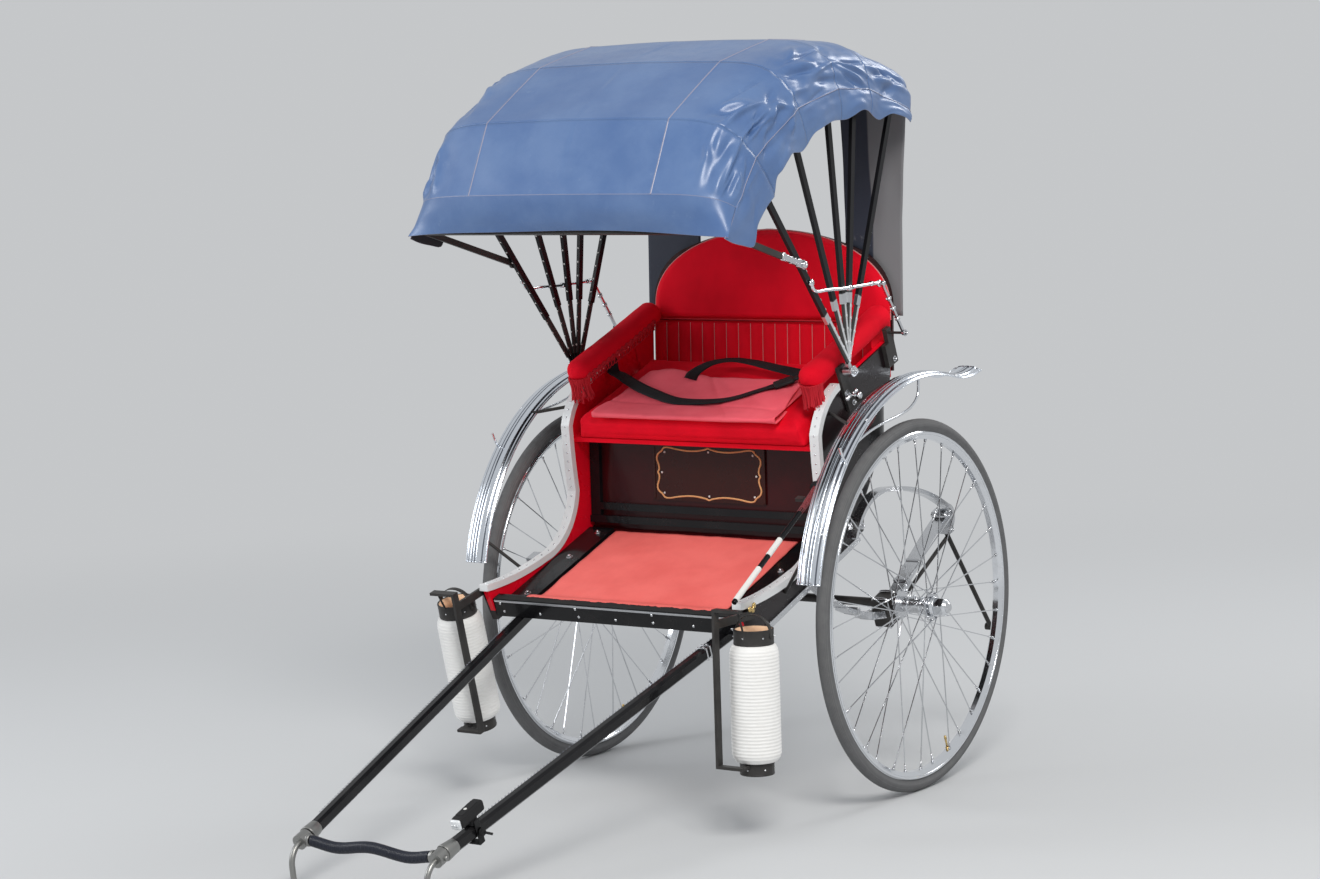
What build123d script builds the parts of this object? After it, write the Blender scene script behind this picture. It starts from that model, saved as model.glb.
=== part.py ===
from build123d import *
import os
from math import asin, atan2, cos, degrees, hypot, radians, sin

# Pulled rickshaw, in millimetres. It is modelled level, with the axle's centre at the origin,
# the front towards -Y and +Z up, and is then lowered onto its shaft tips by park().

# Wheels
WHEEL_R = 550
TRACK = 1175
TYRE_W = 40
TYRE_DEPTH = 36
TYRE_SHOULDER = 22
TYRE_BASE_R = WHEEL_R - TYRE_DEPTH
RIM_W = 34
RIM_DEPTH = 24
RIM_SEAT = RIM_W / 2 - 3
RIM_LIP = 4
RIM_WALL = 8
RIM_WELL = RIM_W / 2 - 9
RIM_INNER_R = TYRE_BASE_R - RIM_DEPTH
SPOKES = 36
SPOKE_W = 2.6
SPOKE_SWEEP = 52
SPOKE_HOLE_IN = 4
HUB_HALF = 58
FLANGE_R = 44
FLANGE_T = 5
FLANGE_INSET = 7
BARREL_R = 24
CAP_R = 17
CAP_END = 112
CAP_TAPER = 6
CAP_WALL = 8
AXLE_R = 13
STUB_R = 11
AXLE_SHORT = 3
STUB_SHORT = 14
RUNNING_GAP = 0.05
GAP = 0.3

# Shafts, crossbar and tips
SHAFT_W = 30
SHAFT_H = 36
SHAFT_CHAMFER = 7
SHAFT_ROOT = (TRACK / 2 - 189.5, -250, 220)
SHAFT_END = (227, -1850, 250)
CROSSBAR_R = 13
CROSSBAR_DIP = 15
CROSSBAR_IN = 8
CROSSBAR_AHEAD = 16
CROSSBAR_BEND = 120
SOCKET_R = 21
SOCKET_L = 70
TIP_BEND = (-2, -78, -6)
TIP_BEND_R = 55
TIP_IN = 4
TIP_R = 8
TIP_Y = -1955
TIP_Z = 134

# Body, set out across the vehicle from the track so that it stays clear of the wheels
SPRING_X = TRACK / 2 - HUB_HALF - 49.5
SIDE_OUT = SPRING_X - 28
SIDE_T = 22
TRIM_W = 20
TRIM_OUT = 4
FLOOR_Z = 262
FLOOR_T = 16
FLOOR_FRONT = -650
FLOOR_REAR = 10
MAT_T = 6
MAT_HALF = SIDE_OUT - 127
SEAT_Z = 560
SEAT_T = 14
CUSHION_T = 80
CUSHION_HALF = SIDE_OUT - 48
CUSHION_FRONT = -130
CUSHION_REAR = 330
CUSHION_NOSE = 25
CLOTH_T = 12
RECLINE = 21.4
BACK_FOOT = (352, 565)
BACK_H = 448
BACK_HALF = SIDE_OUT - 23
BACK_STRAIGHT = 215
PLEAT_H = 170
PLEAT_LOW = 6
PAD_T = 26
PAD_INSET = 8
SHELL_T = 9
SHELL_LOW = 24
ARM_R = 35
ARM_X = SIDE_OUT - 40
ARM_Z = 744
ARM_FRONT = -18
ARM_REAR = 378

# Mudguards: an arc about a point behind the axle, then a flicked-up tail
GUARD_CY = 55
GUARD_R = 668
GUARD_IN = TRACK / 2 - 41.5
GUARD_W = 74
GUARD_T = 3
GUARD_CROWN = 12
GUARD_FRONT_DEG = 149
GUARD_REAR_DEG = 57
TAIL_R = 250
TAIL_DEG = 32

# Hood: bows on one pivot, each with its own layer across the pin
PIVOT_Y = 70
PIVOT_Z = 725
HOOD_R = 985
SEAM_DOWN = 153
HEM_DOWN = 108
SEAM_R = HOOD_R - SEAM_DOWN
HEM_R = SEAM_R - HEM_DOWN
BOW_X = SIDE_OUT + 45
HOOD_HALF = BOW_X + 35
CROWN_IN = 147
CROWN_X = HOOD_HALF - CROWN_IN
CROWN_DROP = 10
SHOULDER_IN = 34
SHOULDER_X = HOOD_HALF - SHOULDER_IN
SHOULDER_DROP = 56
COVER_T = 2
NEST = 7
BOW_SHOULDER_DOWN = 32
BOW_SHOULDER_R = SEAM_R - BOW_SHOULDER_DOWN
BOW_W = 20
BOW_T = 11
BOW_PITCH = 6
FRONT_STEP = 5.5
IRON_W = 10
IRON_T = 5.5
IRON_R = 210
EYE_R = 13
PIN_R = 6
# name, angle from upright towards the rear
BOWS = (("bow_1", -20.5), ("bow_2", -2.5), ("bow_3", 13.3), ("bow_4", 25.0), ("bow_5", 41.0))
JOINT_R = 426
FRONT_SEAM_DEG = -44.5
FRONT_BOW_DEG = -54.5
FRONT_BOW_L = 442
FRONT_BOW_W = 18
FRONT_BOW_T = 8
FRONT_BOW_EYE_R = 14
JOINT_PIN_R = 4
ROD_PIN_R = 3
FRONT_CROWN_R = 512
FRONT_SEAM_R = 412
FRONT_HEM_R = 318
VALANCE_DROP = 75
VALANCE_R = 437
VALANCE_HALF = HOOD_HALF - 12
VALANCE_LOW_HALF = HOOD_HALF - 26
VALANCE_IN = 14
VALANCE_T = 4

# Landau irons
STAY_X = BOW_X + 20
ROD_X = BOW_X + 10
STAY_T = 6
STAY_W = 9
STAY_PIN_R = 4
ROD_START_R = 354
ELBOW = (290, 905)
STAY_END = (350, 720)
STAY_BRACKET_T = 14


def lean_angle():
    """Angle that brings the shaft tips down to the ground."""
    reach = hypot(TIP_Y, TIP_Z)
    return degrees(asin((WHEEL_R - TIP_R) / reach) + atan2(TIP_Z, -TIP_Y))


LEAN = lean_angle()


def park(shape):
    return Pos(0, 0, WHEEL_R) * Rot(LEAN, 0, 0) * shape


def both(shape):
    return [shape, mirror(shape, Plane.YZ)]


def side_face(edges):
    """Face in the YZ plane from (y, z) edges drawn flat."""
    return Plane.YZ * make_face(edges)


def side_plate(edges, inner, outer):
    return Pos(inner, 0, 0) * extrude(side_face(edges), amount=outer - inner)


def side_polygon(points, inner, outer):
    return side_plate(Polyline(*points, close=True).edges(), inner, outer)


def block(x0, x1, y0, y1, z0, z1):
    return Pos((x0 + x1) / 2, (y0 + y1) / 2, (z0 + z1) / 2) * Box(x1 - x0, y1 - y0, z1 - z0)


def rod(start, end, radius):
    start, end = Vector(*start), Vector(*end)
    run = end - start
    return extrude(Plane(origin=start, z_dir=run) * Circle(radius), amount=run.length)


def bar(start, end, width, height, chamfer_size=0):
    """Straight bar with its width level and its section across the run."""
    start, end = Vector(*start), Vector(*end)
    run = end - start
    level = Vector(0, 0, 1).cross(run)
    section = Rectangle(width, height)
    if chamfer_size:
        section = chamfer(section.vertices(), chamfer_size)
    return extrude(Plane(origin=start, x_dir=level, z_dir=run) * section, amount=run.length)


def largest(shape):
    return max(shape.solids(), key=lambda piece: piece.volume)


def across(y, z, inner, outer, radius):
    """Cylinder across the vehicle."""
    return Pos(inner, y, z) * extrude(Plane.YZ * Circle(radius), amount=outer - inner)


# Wheels, drawn as (x, r) sections about the axle and set out by the track
def spin(edges):
    return revolve(make_face(edges), Axis.X, 360)


def tyre():
    half = TYRE_W / 2
    edges = [
        ThreePointArc((-half, WHEEL_R - TYRE_SHOULDER), (0, WHEEL_R), (half, WHEEL_R - TYRE_SHOULDER)),
        Polyline((half, WHEEL_R - TYRE_SHOULDER), (RIM_SEAT, TYRE_BASE_R), (-RIM_SEAT, TYRE_BASE_R),
                 (-half, WHEEL_R - TYRE_SHOULDER)),
    ]
    return spin(edges)


def rim():
    half = RIM_W / 2
    lip = TYRE_BASE_R - RIM_LIP
    right = [(RIM_SEAT, TYRE_BASE_R), (half, lip), (half, lip - RIM_WALL), (RIM_WELL, RIM_INNER_R)]
    left = [(-x, r) for x, r in reversed(right)]
    return spin(Polyline(*right, *left, close=True).edges())


def hub():
    middle = HUB_HALF - FLANGE_INSET
    near, far = middle - FLANGE_T / 2, middle + FLANGE_T / 2
    bore = STUB_R + RUNNING_GAP
    barrel = [
        (-HUB_HALF, bore), (-HUB_HALF, BARREL_R), (-far, BARREL_R), (-far, FLANGE_R), (-near, FLANGE_R),
        (-near, BARREL_R), (near, BARREL_R), (near, FLANGE_R), (far, FLANGE_R), (far, BARREL_R),
        (HUB_HALF, BARREL_R),
    ]
    cap = [
        (HUB_HALF + CAP_TAPER, CAP_R), (CAP_END - CAP_TAPER, CAP_R), (CAP_END, CAP_R - CAP_TAPER),
        (CAP_END, 0),
        (CAP_END - CAP_WALL, 0), (CAP_END - CAP_WALL, bore),
    ]
    return spin(Polyline(*barrel, *cap, close=True).edges())


def spoke(index):
    """Spoke laced against the inner or the outer face of its flange, so that crossing spokes pass clear."""
    side = 1 if index % 2 else -1
    leading = index // 2 % 2
    face = (FLANGE_T + SPOKE_W) / 2 + 3 * GAP
    lean = face if leading else -face
    at_rim = radians(index * 360 / SPOKES)
    at_hub = at_rim + radians(SPOKE_SWEEP if leading else -SPOKE_SWEEP)
    start_r = FLANGE_R - SPOKE_HOLE_IN
    end_r = RIM_INNER_R - GAP
    start = Vector(side * (HUB_HALF - FLANGE_INSET + lean), start_r * cos(at_hub), start_r * sin(at_hub))
    end = Vector(side * (SPOKE_HOLE_IN + lean / 2), end_r * cos(at_rim), end_r * sin(at_rim))
    run = end - start
    return extrude(Plane(origin=start, z_dir=run) * Rectangle(SPOKE_W, SPOKE_W), amount=run.length)


def spokes():
    return [spoke(index) for index in range(SPOKES)]


def axle():
    bed_end = TRACK / 2 - HUB_HALF - AXLE_SHORT
    stub_end = TRACK / 2 + CAP_END - STUB_SHORT
    return across(0, 0, -bed_end, bed_end, AXLE_R) + across(0, 0, -stub_end, stub_end, STUB_R)


# Springs
SPRING_W = 44
LEAF_T = 8
# front eye, bend, axle seat, bend and rear eye of the main leaf, as (y, z)
MAIN_LEAF = ((-350, 262), (-195, 86), (0, -18), (200, 42), (398, 88))
# share of the main leaf's length
SHORT_LEAVES = (0.58, 0.33)
EYE_OUT_R = 12
# scroll iron from the body's side over to the leaf's rear end, as arcs of three points (y, z)
SCROLL = (
    ((-92, 262), (18, 324), (146, 304)),
    ((146, 304), (310, 214), (432, 104)),
    ((432, 104), (450, 60), (412, 36)),
)
SCROLL_T = 13
SCROLL_HALF = 15
# y and z spans of the clamp, the lug under the body and the front hanger
CLAMP_SPANS = (-34, 34, -62, 22)
LUG_SPANS = (-80, -25, 262, 302)
FRONT_HANGER_SPANS = (-372, -328, 258, 284)
SHACKLE = ((386, 104), (412, 104), (424, 26), (394, 26))


def arcs(table):
    return [ThreePointArc(*points) for points in table]


def flat_iron(table, thickness, inner, outer):
    """Flat bar bent along arcs in the side view."""
    wire = Wire(arcs(table))
    halves = [side_face(offset(wire, thickness / 2, side=side, closed=True).edges())
              for side in (Side.LEFT, Side.RIGHT)]
    place = Pos(inner, 0, 0)
    bars = [place * extrude(half, amount=outer - inner) for half in halves]
    return bars[0] + bars[1]


def leaf(share, drop):
    """Leaf that follows a share of the main one on both sides of the axle, lower by drop."""
    front, bend_front, seat, bend_rear, rear = MAIN_LEAF
    fore = ThreePointArc(front, bend_front, seat)
    aft = ThreePointArc(seat, bend_rear, rear)
    points = [fore @ (1 - share), fore @ (1 - share / 2), fore @ 1, aft @ (share / 2), aft @ share]
    top = [(point.X, point.Y - drop) for point in points]
    low = [(y, z - LEAF_T) for y, z in reversed(top)]
    edges = [
        ThreePointArc(*top[:3]), ThreePointArc(*top[2:]), Line(top[-1], low[0]),
        ThreePointArc(*low[:3]), ThreePointArc(*low[2:]), Line(low[-1], top[0]),
    ]
    return side_plate(edges, SPRING_X - SPRING_W / 2, SPRING_X + SPRING_W / 2)


def springs():
    stack = leaf(1, 0)
    for place, share in enumerate(SHORT_LEAVES, 1):
        stack += leaf(share, place * LEAF_T)
    for y, z in (MAIN_LEAF[0], MAIN_LEAF[-1]):
        stack += across(y, z, SPRING_X - SPRING_W / 2, SPRING_X + SPRING_W / 2, EYE_OUT_R)
    return both(stack)


def spring_clamps():
    half = SPRING_W / 2 + 5
    clamp = block(SPRING_X - half, SPRING_X + half, *CLAMP_SPANS)
    clamp -= across(0, 0, SPRING_X - 2 * half, SPRING_X + 2 * half, AXLE_R)
    for piece in springs():
        clamp -= piece
    return both(clamp)


def spring_hangers():
    """Scroll irons that carry the springs' rear ends, and the front hangers."""
    scroll = flat_iron(SCROLL, SCROLL_T, SPRING_X - SCROLL_HALF, SPRING_X + SCROLL_HALF)
    lug = block(SIDE_OUT, SPRING_X - SCROLL_HALF + 2, *LUG_SPANS)
    shackle = side_polygon(SHACKLE, SPRING_X - SPRING_W / 2, SPRING_X + SPRING_W / 2)
    rear = scroll + lug + shackle - springs()[0]
    front = block(SIDE_OUT + TRIM_OUT, SPRING_X + SPRING_W / 2 + 4, *FRONT_HANGER_SPANS) - springs()[0]
    return both(rear) + both(front)


# Shafts
def shaft():
    return bar(SHAFT_ROOT, SHAFT_END, SHAFT_W, SHAFT_H, SHAFT_CHAMFER)


def crossbar():
    x = SHAFT_END[0] - CROSSBAR_IN
    y, z = SHAFT_END[1] - CROSSBAR_AHEAD, SHAFT_END[2]
    low = z - CROSSBAR_DIP
    path = FilletPolyline((-x, y, z), (-x * 0.55, y, low), (0, y, z + 3), (x * 0.55, y, low), (x, y, z),
                          radius=CROSSBAR_BEND)
    bar_solid = sweep(Plane(origin=path @ 0, z_dir=path % 0) * Circle(CROSSBAR_R), path)
    for piece in shaft_tips():
        bar_solid -= piece
    return bar_solid


def shaft_tip():
    x, y, z = SHAFT_END
    socket = extrude(Plane(origin=(x, y, z), z_dir=(0, -1, 0)) * Circle(SOCKET_R), amount=SOCKET_L / 2)
    socket -= shaft()
    bend = tuple(Vector(x, y, z) + Vector(*TIP_BEND))
    end = (x - TIP_IN, TIP_Y, TIP_Z)
    path = FilletPolyline((x, y - SOCKET_L / 2 + 6, z), bend, end, radius=TIP_BEND_R)
    spike = sweep(Plane(origin=path @ 0, z_dir=path % 0) * Circle(TIP_R), path)
    ball = Pos(*end) * Sphere(TIP_R)
    return socket + spike + ball


def shaft_tips():
    return both(shaft_tip())


# Body
# front edge of the side panels from the armrest down to the toe: ends and bends of arcs, as (y, z)
SWOOP_ENDS = ((50, 684), (-105, 600), (-150, 405), (-375, 290), (-668, 345))
SWOOP_BENDS = ((-44, 656), (-130, 505), (-225, 322), (-510, 306))
SWOOP = tuple(zip(SWOOP_ENDS, SWOOP_BENDS, SWOOP_ENDS[1:]))
SILL_Z = 232
TOE_Y = -652
# plan of the rounded tub under the seat: height, front edge, rear edge, radius of the rear corners
TUB = (
    (SILL_Z, -20, 22, 10),
    (257, -10, 35, 12),
    (323, 20, 101, 40),
    (424, 110, 291, 90),
    (515, 200, 357, 130),
    (SEAT_Z - SEAT_T, 220, 385, 130),
)
TUB_T = 8
SIDE_TOP_REAR = (392, 690)
SIDE_REAR_Y = 305
SILL_IRON_T = 6
IN_X = SIDE_OUT - SIDE_T
RAIL_D = 30
RAIL_UP = 40
BOARD_T = 12


def side_panel():
    rear_edge = [(front, z) for z, front, _, _ in TUB]
    back = Polyline(SWOOP_ENDS[-1], (TOE_Y, SILL_Z), *rear_edge, (SIDE_REAR_Y, SEAT_Z - SEAT_T),
                    SIDE_TOP_REAR, SWOOP_ENDS[0])
    return side_plate(arcs(SWOOP) + [back], SIDE_OUT - SIDE_T, SIDE_OUT) - side_trim()


def side_trim():
    return flat_iron(SWOOP, TRIM_W, SIDE_OUT - SIDE_T - TRIM_OUT, SIDE_OUT + TRIM_OUT)


def sill_irons():
    """Flat irons along the lower edge of the body."""
    return both(block(SIDE_OUT, SIDE_OUT + SILL_IRON_T, TOE_Y + 50, TUB[0][1], SILL_Z - 16, SILL_Z + 2))


RISER_FOOT = (-112, FLOOR_Z)
RISER_TOP = (-8, SEAT_Z - SEAT_T)
# black steps and rails of the riser: share of its slope from and to, depth
RISER_BARS = ((0.06, 0.13, 22), (0.19, 0.26, 16), (0.89, 0.96, 16))
RISER_POST_W = 34
PLATE_HALF = 195
PLATE_SHARES = (0.32, 0.86)
PLATE_T = 5


def floor_deck():
    return block(-IN_X, IN_X, FLOOR_FRONT + RAIL_D, FLOOR_REAR, FLOOR_Z - FLOOR_T, FLOOR_Z)


def front_rail():
    return block(-IN_X, IN_X, FLOOR_FRONT - 4, FLOOR_FRONT + RAIL_D, FLOOR_Z - FLOOR_T, FLOOR_Z + RAIL_UP)


def floor_side_boards():
    rear = RISER_FOOT[0] - RISER_BARS[0][2] - 2
    top = FLOOR_Z + BOARD_T
    return both(block(MAT_HALF + BOARD_T, IN_X - TRIM_OUT, FLOOR_FRONT + RAIL_D, rear, FLOOR_Z, top))


def floor_mat():
    rear = RISER_FOOT[0] - RISER_BARS[0][2] - 10
    return block(-MAT_HALF, MAT_HALF, FLOOR_FRONT + 50, rear, FLOOR_Z, FLOOR_Z + MAT_T)


def on_riser(along, off):
    """Point (y, z) at a share of the riser's slope, set forward by off."""
    dy, dz = RISER_TOP[0] - RISER_FOOT[0], RISER_TOP[1] - RISER_FOOT[1]
    length = hypot(dy, dz)
    return (RISER_FOOT[0] + dy * along - off * dz / length, RISER_FOOT[1] + dz * along + off * dy / length)


def riser_strip(low, high, back, front, inner, outer):
    corners = (on_riser(low, back), on_riser(high, back), on_riser(high, front), on_riser(low, front))
    return side_polygon(corners, inner, outer)


def riser_panel():
    panel = riser_strip(0, 1, -14, 0, -IN_X + TRIM_OUT, IN_X - TRIM_OUT)
    below = block(-IN_X, IN_X, -300, 200, 0, FLOOR_Z)
    above = block(-IN_X, IN_X, -300, 200, SEAT_Z - SEAT_T, SEAT_Z + 100)
    return panel - below - above


def riser_frame():
    wide = IN_X - TRIM_OUT
    low, high, depth = RISER_BARS[0][0], RISER_BARS[-1][1], RISER_BARS[-1][2]
    frame = [riser_strip(start, end, 0, out, -wide, wide) for start, end, out in RISER_BARS]
    for inner, outer in ((-wide, RISER_POST_W - wide), (wide - RISER_POST_W, wide)):
        frame.append(riser_strip(low, high, 0, depth, inner, outer))
    return sum(frame[1:], frame[0])


def plate():
    return riser_strip(*PLATE_SHARES, 0, PLATE_T, -PLATE_HALF, PLATE_HALF)


def tub_plan(row, inset, front=0):
    """Outline of the tub at one height, with rounded rear corners."""
    z, start, rear, corner = row
    half, rear, radius = SIDE_OUT - inset, rear - inset, max(corner - inset, 3)
    start = min(start, front) if front else start
    bend = radius * (1 - cos(radians(45)))
    return Plane.XY.offset(z) * make_face([
        Line((-half, start), (half, start)),
        Line((half, start), (half, rear - radius)),
        ThreePointArc((half, rear - radius), (half - bend, rear - bend), (half - radius, rear)),
        Line((half - radius, rear), (radius - half, rear)),
        ThreePointArc((radius - half, rear), (bend - half, rear - bend), (-half, rear - radius)),
        Line((-half, rear - radius), (-half, start)),
    ])


def rear_panel():
    """Rounded tub that closes the back of the seat box."""
    outer = loft([tub_plan(row, 0) for row in TUB], ruled=True)
    inner = loft([tub_plan(row, TUB_T, row[1] - 40) for row in TUB], ruled=True)
    return outer - inner


def seat_board():
    return extrude(tub_plan(TUB[-1], SIDE_T, -100), amount=SEAT_T)


def seat_cushion():
    low, high = SEAT_Z + GAP, SEAT_Z + CUSHION_T
    edge = CUSHION_FRONT + CUSHION_NOSE
    edges = [
        Line((CUSHION_REAR, low), (edge, low)),
        ThreePointArc((edge, low), (CUSHION_FRONT, (low + high) / 2), (edge, high)),
        Polyline((edge, high), (CUSHION_REAR, high), (CUSHION_REAR, low)),
    ]
    return side_plate(edges, -CUSHION_HALF, CUSHION_HALF)


CLOTH_Z = SEAT_Z + CUSHION_T + GAP
CLOTH_PLAN = ((-329, -104), (329, -104), (276, 151), (-276, 151))
BELT_W = 38
BELT_T = 2
# ends of each belt half on the cloth, as (x, y)
BELT_RUNS = (((-300, 120), (-60, 20)), ((290, 100), (40, 60)))


def lap_cloth():
    outline = Polyline(*CLOTH_PLAN, close=True)
    return Pos(0, 0, CLOTH_Z) * extrude(make_face(outline.edges()), amount=CLOTH_T)


def seat_belt():
    z = CLOTH_Z + CLOTH_T + GAP + BELT_T / 2
    return [bar((*start, z), (*end, z), BELT_W, BELT_T) for start, end in BELT_RUNS]


def back_plane(off):
    """Plane of the backrest's front, set back by off, with local y up the slope."""
    up = Vector(0, sin(radians(RECLINE)), cos(radians(RECLINE)))
    behind = Vector(0, cos(radians(RECLINE)), -sin(radians(RECLINE)))
    foot = Vector(0, *BACK_FOOT) + behind * off
    return Plane(origin=foot, x_dir=(1, 0, 0), z_dir=Vector(1, 0, 0).cross(up))


def back_outline(inset, low):
    """Upright sides under a flat arch. Its points are shares of the half-width and of the rise."""
    half, high = BACK_HALF - inset, BACK_H - inset
    rise = high - BACK_STRAIGHT
    bend = (half * 0.94, BACK_STRAIGHT + (rise + inset) * 0.42)
    shoulder = (half * 0.74, BACK_STRAIGHT + rise * 0.735)
    right, crown = (half, BACK_STRAIGHT), (0, high)
    left, left_bend, left_shoulder = ((-x, y) for x, y in (right, bend, shoulder))
    return make_face([
        Polyline(left, (-half, low), (half, low), right),
        ThreePointArc(right, bend, shoulder),
        ThreePointArc(shoulder, crown, left_shoulder),
        ThreePointArc(left_shoulder, left_bend, left),
    ])


def backrest_pad():
    return extrude(back_plane(PAD_T) * back_outline(PAD_INSET, PLEAT_H + GAP), amount=PAD_T)


def backrest_pleats():
    face = Pos(0, (PLEAT_H + PLEAT_LOW) / 2) * Rectangle(2 * (BACK_HALF - PAD_INSET), PLEAT_H - PLEAT_LOW)
    return extrude(back_plane(PAD_T) * face, amount=PAD_T)


def backrest_shell():
    return extrude(back_plane(PAD_T + GAP + SHELL_T) * back_outline(0, SHELL_LOW), amount=SHELL_T)


def armrests():
    face = Plane(origin=(ARM_X, ARM_FRONT, ARM_Z), z_dir=(0, 1, 0)) * Circle(ARM_R)
    roll = extrude(face, amount=ARM_REAR - ARM_FRONT) + Pos(ARM_X, ARM_FRONT, ARM_Z) * Sphere(ARM_R)
    behind = extrude(back_plane(-GAP) * Rectangle(3 * SIDE_OUT, 3 * ARM_Z), amount=-SIDE_OUT)
    return both(roll - behind)


# Mudguards
def guard_section():
    """Crowned strip drawn as (x, r)."""
    mid = GUARD_IN + GUARD_W / 2
    end = GUARD_IN + GUARD_W
    top = ThreePointArc((GUARD_IN, GUARD_R - GUARD_CROWN), (mid, GUARD_R), (end, GUARD_R - GUARD_CROWN))
    low = ThreePointArc((end, GUARD_R - GUARD_CROWN - GUARD_T), (mid, GUARD_R - GUARD_T),
                        (GUARD_IN, GUARD_R - GUARD_CROWN - GUARD_T))
    return make_face([top, Line(top @ 1, low @ 0), low, Line(low @ 1, top @ 0)])


def guard_plane(degree):
    """Section plane through the guard's centre: local x across, local y outwards."""
    out = Vector(0, cos(radians(degree)), sin(radians(degree)))
    return Plane(origin=(0, GUARD_CY, 0), x_dir=(1, 0, 0), z_dir=Vector(1, 0, 0).cross(out))


def mudguard():
    turn = Axis((0, GUARD_CY, 0), (1, 0, 0))
    arc = revolve(guard_plane(GUARD_REAR_DEG) * guard_section(), turn, GUARD_FRONT_DEG - GUARD_REAR_DEG)
    reach = GUARD_R + TAIL_R
    tail_y = GUARD_CY + reach * cos(radians(GUARD_REAR_DEG))
    tail_z = reach * sin(radians(GUARD_REAR_DEG))
    tail_turn = Axis((0, tail_y, tail_z), (1, 0, 0))
    tail = revolve(guard_plane(GUARD_REAR_DEG) * guard_section(), tail_turn, TAIL_DEG)
    return arc + tail


# angle on the guard, y and z on the body's side
GUARD_STAYS = ((143, -440, 270), (104, -20, 630), (78, 130, 600))
GUARD_STAY_R = 5


def guard_stays():
    reach = GUARD_R - GUARD_T - GUARD_STAY_R
    cut = mudguard() + side_panel() + side_trim()
    stays = []
    for degree, y, z in GUARD_STAYS:
        end = (GUARD_IN + 12, GUARD_CY + reach * cos(radians(degree)), reach * sin(radians(degree)))
        stay = rod((SIDE_OUT, y, z), end, GUARD_STAY_R) - cut
        stays += both(largest(stay))
    return stays


# Hood
PIVOT = Vector(0, PIVOT_Y, PIVOT_Z)


def radial(degree):
    return Vector(0, sin(radians(degree)), cos(radians(degree)))


def bow_plane(centre, degree):
    """Plane across the hood at an angle about centre: local x across, local y outwards."""
    up = radial(degree)
    return Plane(origin=centre, x_dir=(1, 0, 0), z_dir=Vector(1, 0, 0).cross(up))


def arch(half, hem, seam, crown):
    """Half outline of the hood's cross-section from one hem over the crown to the other."""
    crown_x = half * CROWN_X / HOOD_HALF
    shoulder_x = half * SHOULDER_X / HOOD_HALF
    crown_y = crown - CROWN_DROP
    shoulder_y = crown - SHOULDER_DROP * (crown - seam) / (HOOD_R - SEAM_R)
    return [
        Line((-half, hem), (-half, seam)),
        ThreePointArc((-half, seam), (-shoulder_x, shoulder_y), (-crown_x, crown_y)),
        ThreePointArc((-crown_x, crown_y), (0, crown), (crown_x, crown_y)),
        ThreePointArc((crown_x, crown_y), (shoulder_x, shoulder_y), (half, seam)),
        Line((half, seam), (half, hem)),
    ]


def arch_band(half, hem, seam, crown, thickness):
    outer = arch(half, hem, seam, crown)
    inner = arch(half - thickness, hem, seam, crown - thickness)
    ends = [Line(outer[0] @ 0, inner[0] @ 0), Line(outer[-1] @ 1, inner[-1] @ 1)]
    return make_face(outer + inner + ends)


def cover(index):
    """Cover from one bow back to the next, nested inside the one in front of it."""
    start, end = BOWS[index][1], BOWS[index + 1][1]
    step = NEST * index
    band = arch_band(HOOD_HALF - step, HEM_R, SEAM_R - step, HOOD_R - step, COVER_T)
    turn = Axis(PIVOT, (-1, 0, 0))
    return revolve(bow_plane(PIVOT, start) * band, turn, end - start)


def eye_bar(x, degree):
    """Lower iron of a bow: an eye on the pin and a flat iron up to the bar."""
    eye = across(PIVOT_Y, PIVOT_Z, x - IRON_T / 2, x + IRON_T / 2, EYE_R)
    foot = bow_plane(PIVOT, degree) * Pos(x, (EYE_R - 4 + IRON_R) / 2) * Rectangle(IRON_T, IRON_R - EYE_R + 4)
    iron = extrude(foot, amount=IRON_W / 2, both=True)
    return eye + iron - across(PIVOT_Y, PIVOT_Z, x - IRON_T, x + IRON_T, PIN_R + RUNNING_GAP)


def bow_crown(index):
    """Radius of a bow's top, just under its cover. The first also stays under the sloping front cover."""
    return HOOD_R - COVER_T - NEST * index - (GAP if index else FRONT_STEP)


def bow(index):
    degree = BOWS[index][1]
    x = BOW_X - BOW_PITCH * index
    band = arch_band(x + BOW_T / 2, IRON_R - 12, BOW_SHOULDER_R, bow_crown(index), BOW_T)
    hoop = extrude(bow_plane(PIVOT, degree) * band, amount=BOW_W / 2, both=True)
    for lower in both(eye_bar(x, degree)):
        hoop += lower
    return hoop


JOINT = PIVOT + radial(BOWS[0][1]) * JOINT_R


def front_bow():
    x = BOW_X + BOW_T / 2 + 0.5
    outer = Pos(0, FRONT_BOW_L / 2) * Rectangle(2 * (x + FRONT_BOW_T), FRONT_BOW_L)
    inner = Pos(0, -FRONT_BOW_W) * Pos(0, FRONT_BOW_L / 2 - 10) * Rectangle(2 * x, FRONT_BOW_L + 24)
    frame = extrude(bow_plane(JOINT, FRONT_BOW_DEG) * (outer - inner), amount=FRONT_BOW_W / 2, both=True)
    for eye in both(across(JOINT.Y, JOINT.Z, x, x + FRONT_BOW_T, FRONT_BOW_EYE_R)):
        frame += eye
    return frame - across(JOINT.Y, JOINT.Z, -x - FRONT_BOW_T, x + FRONT_BOW_T, JOINT_PIN_R + RUNNING_GAP)


ROD_START = tuple(PIVOT + radial(BOWS[0][1]) * ROD_START_R)[1:]


def joint_pins():
    x = BOW_X + BOW_T / 2
    hinge = across(JOINT.Y, JOINT.Z, x, x + FRONT_BOW_T + 0.5, JOINT_PIN_R)
    return both(hinge) + both(across(*ROD_START, x, ROD_X + STAY_T / 2 + 1, ROD_PIN_R))


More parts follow.
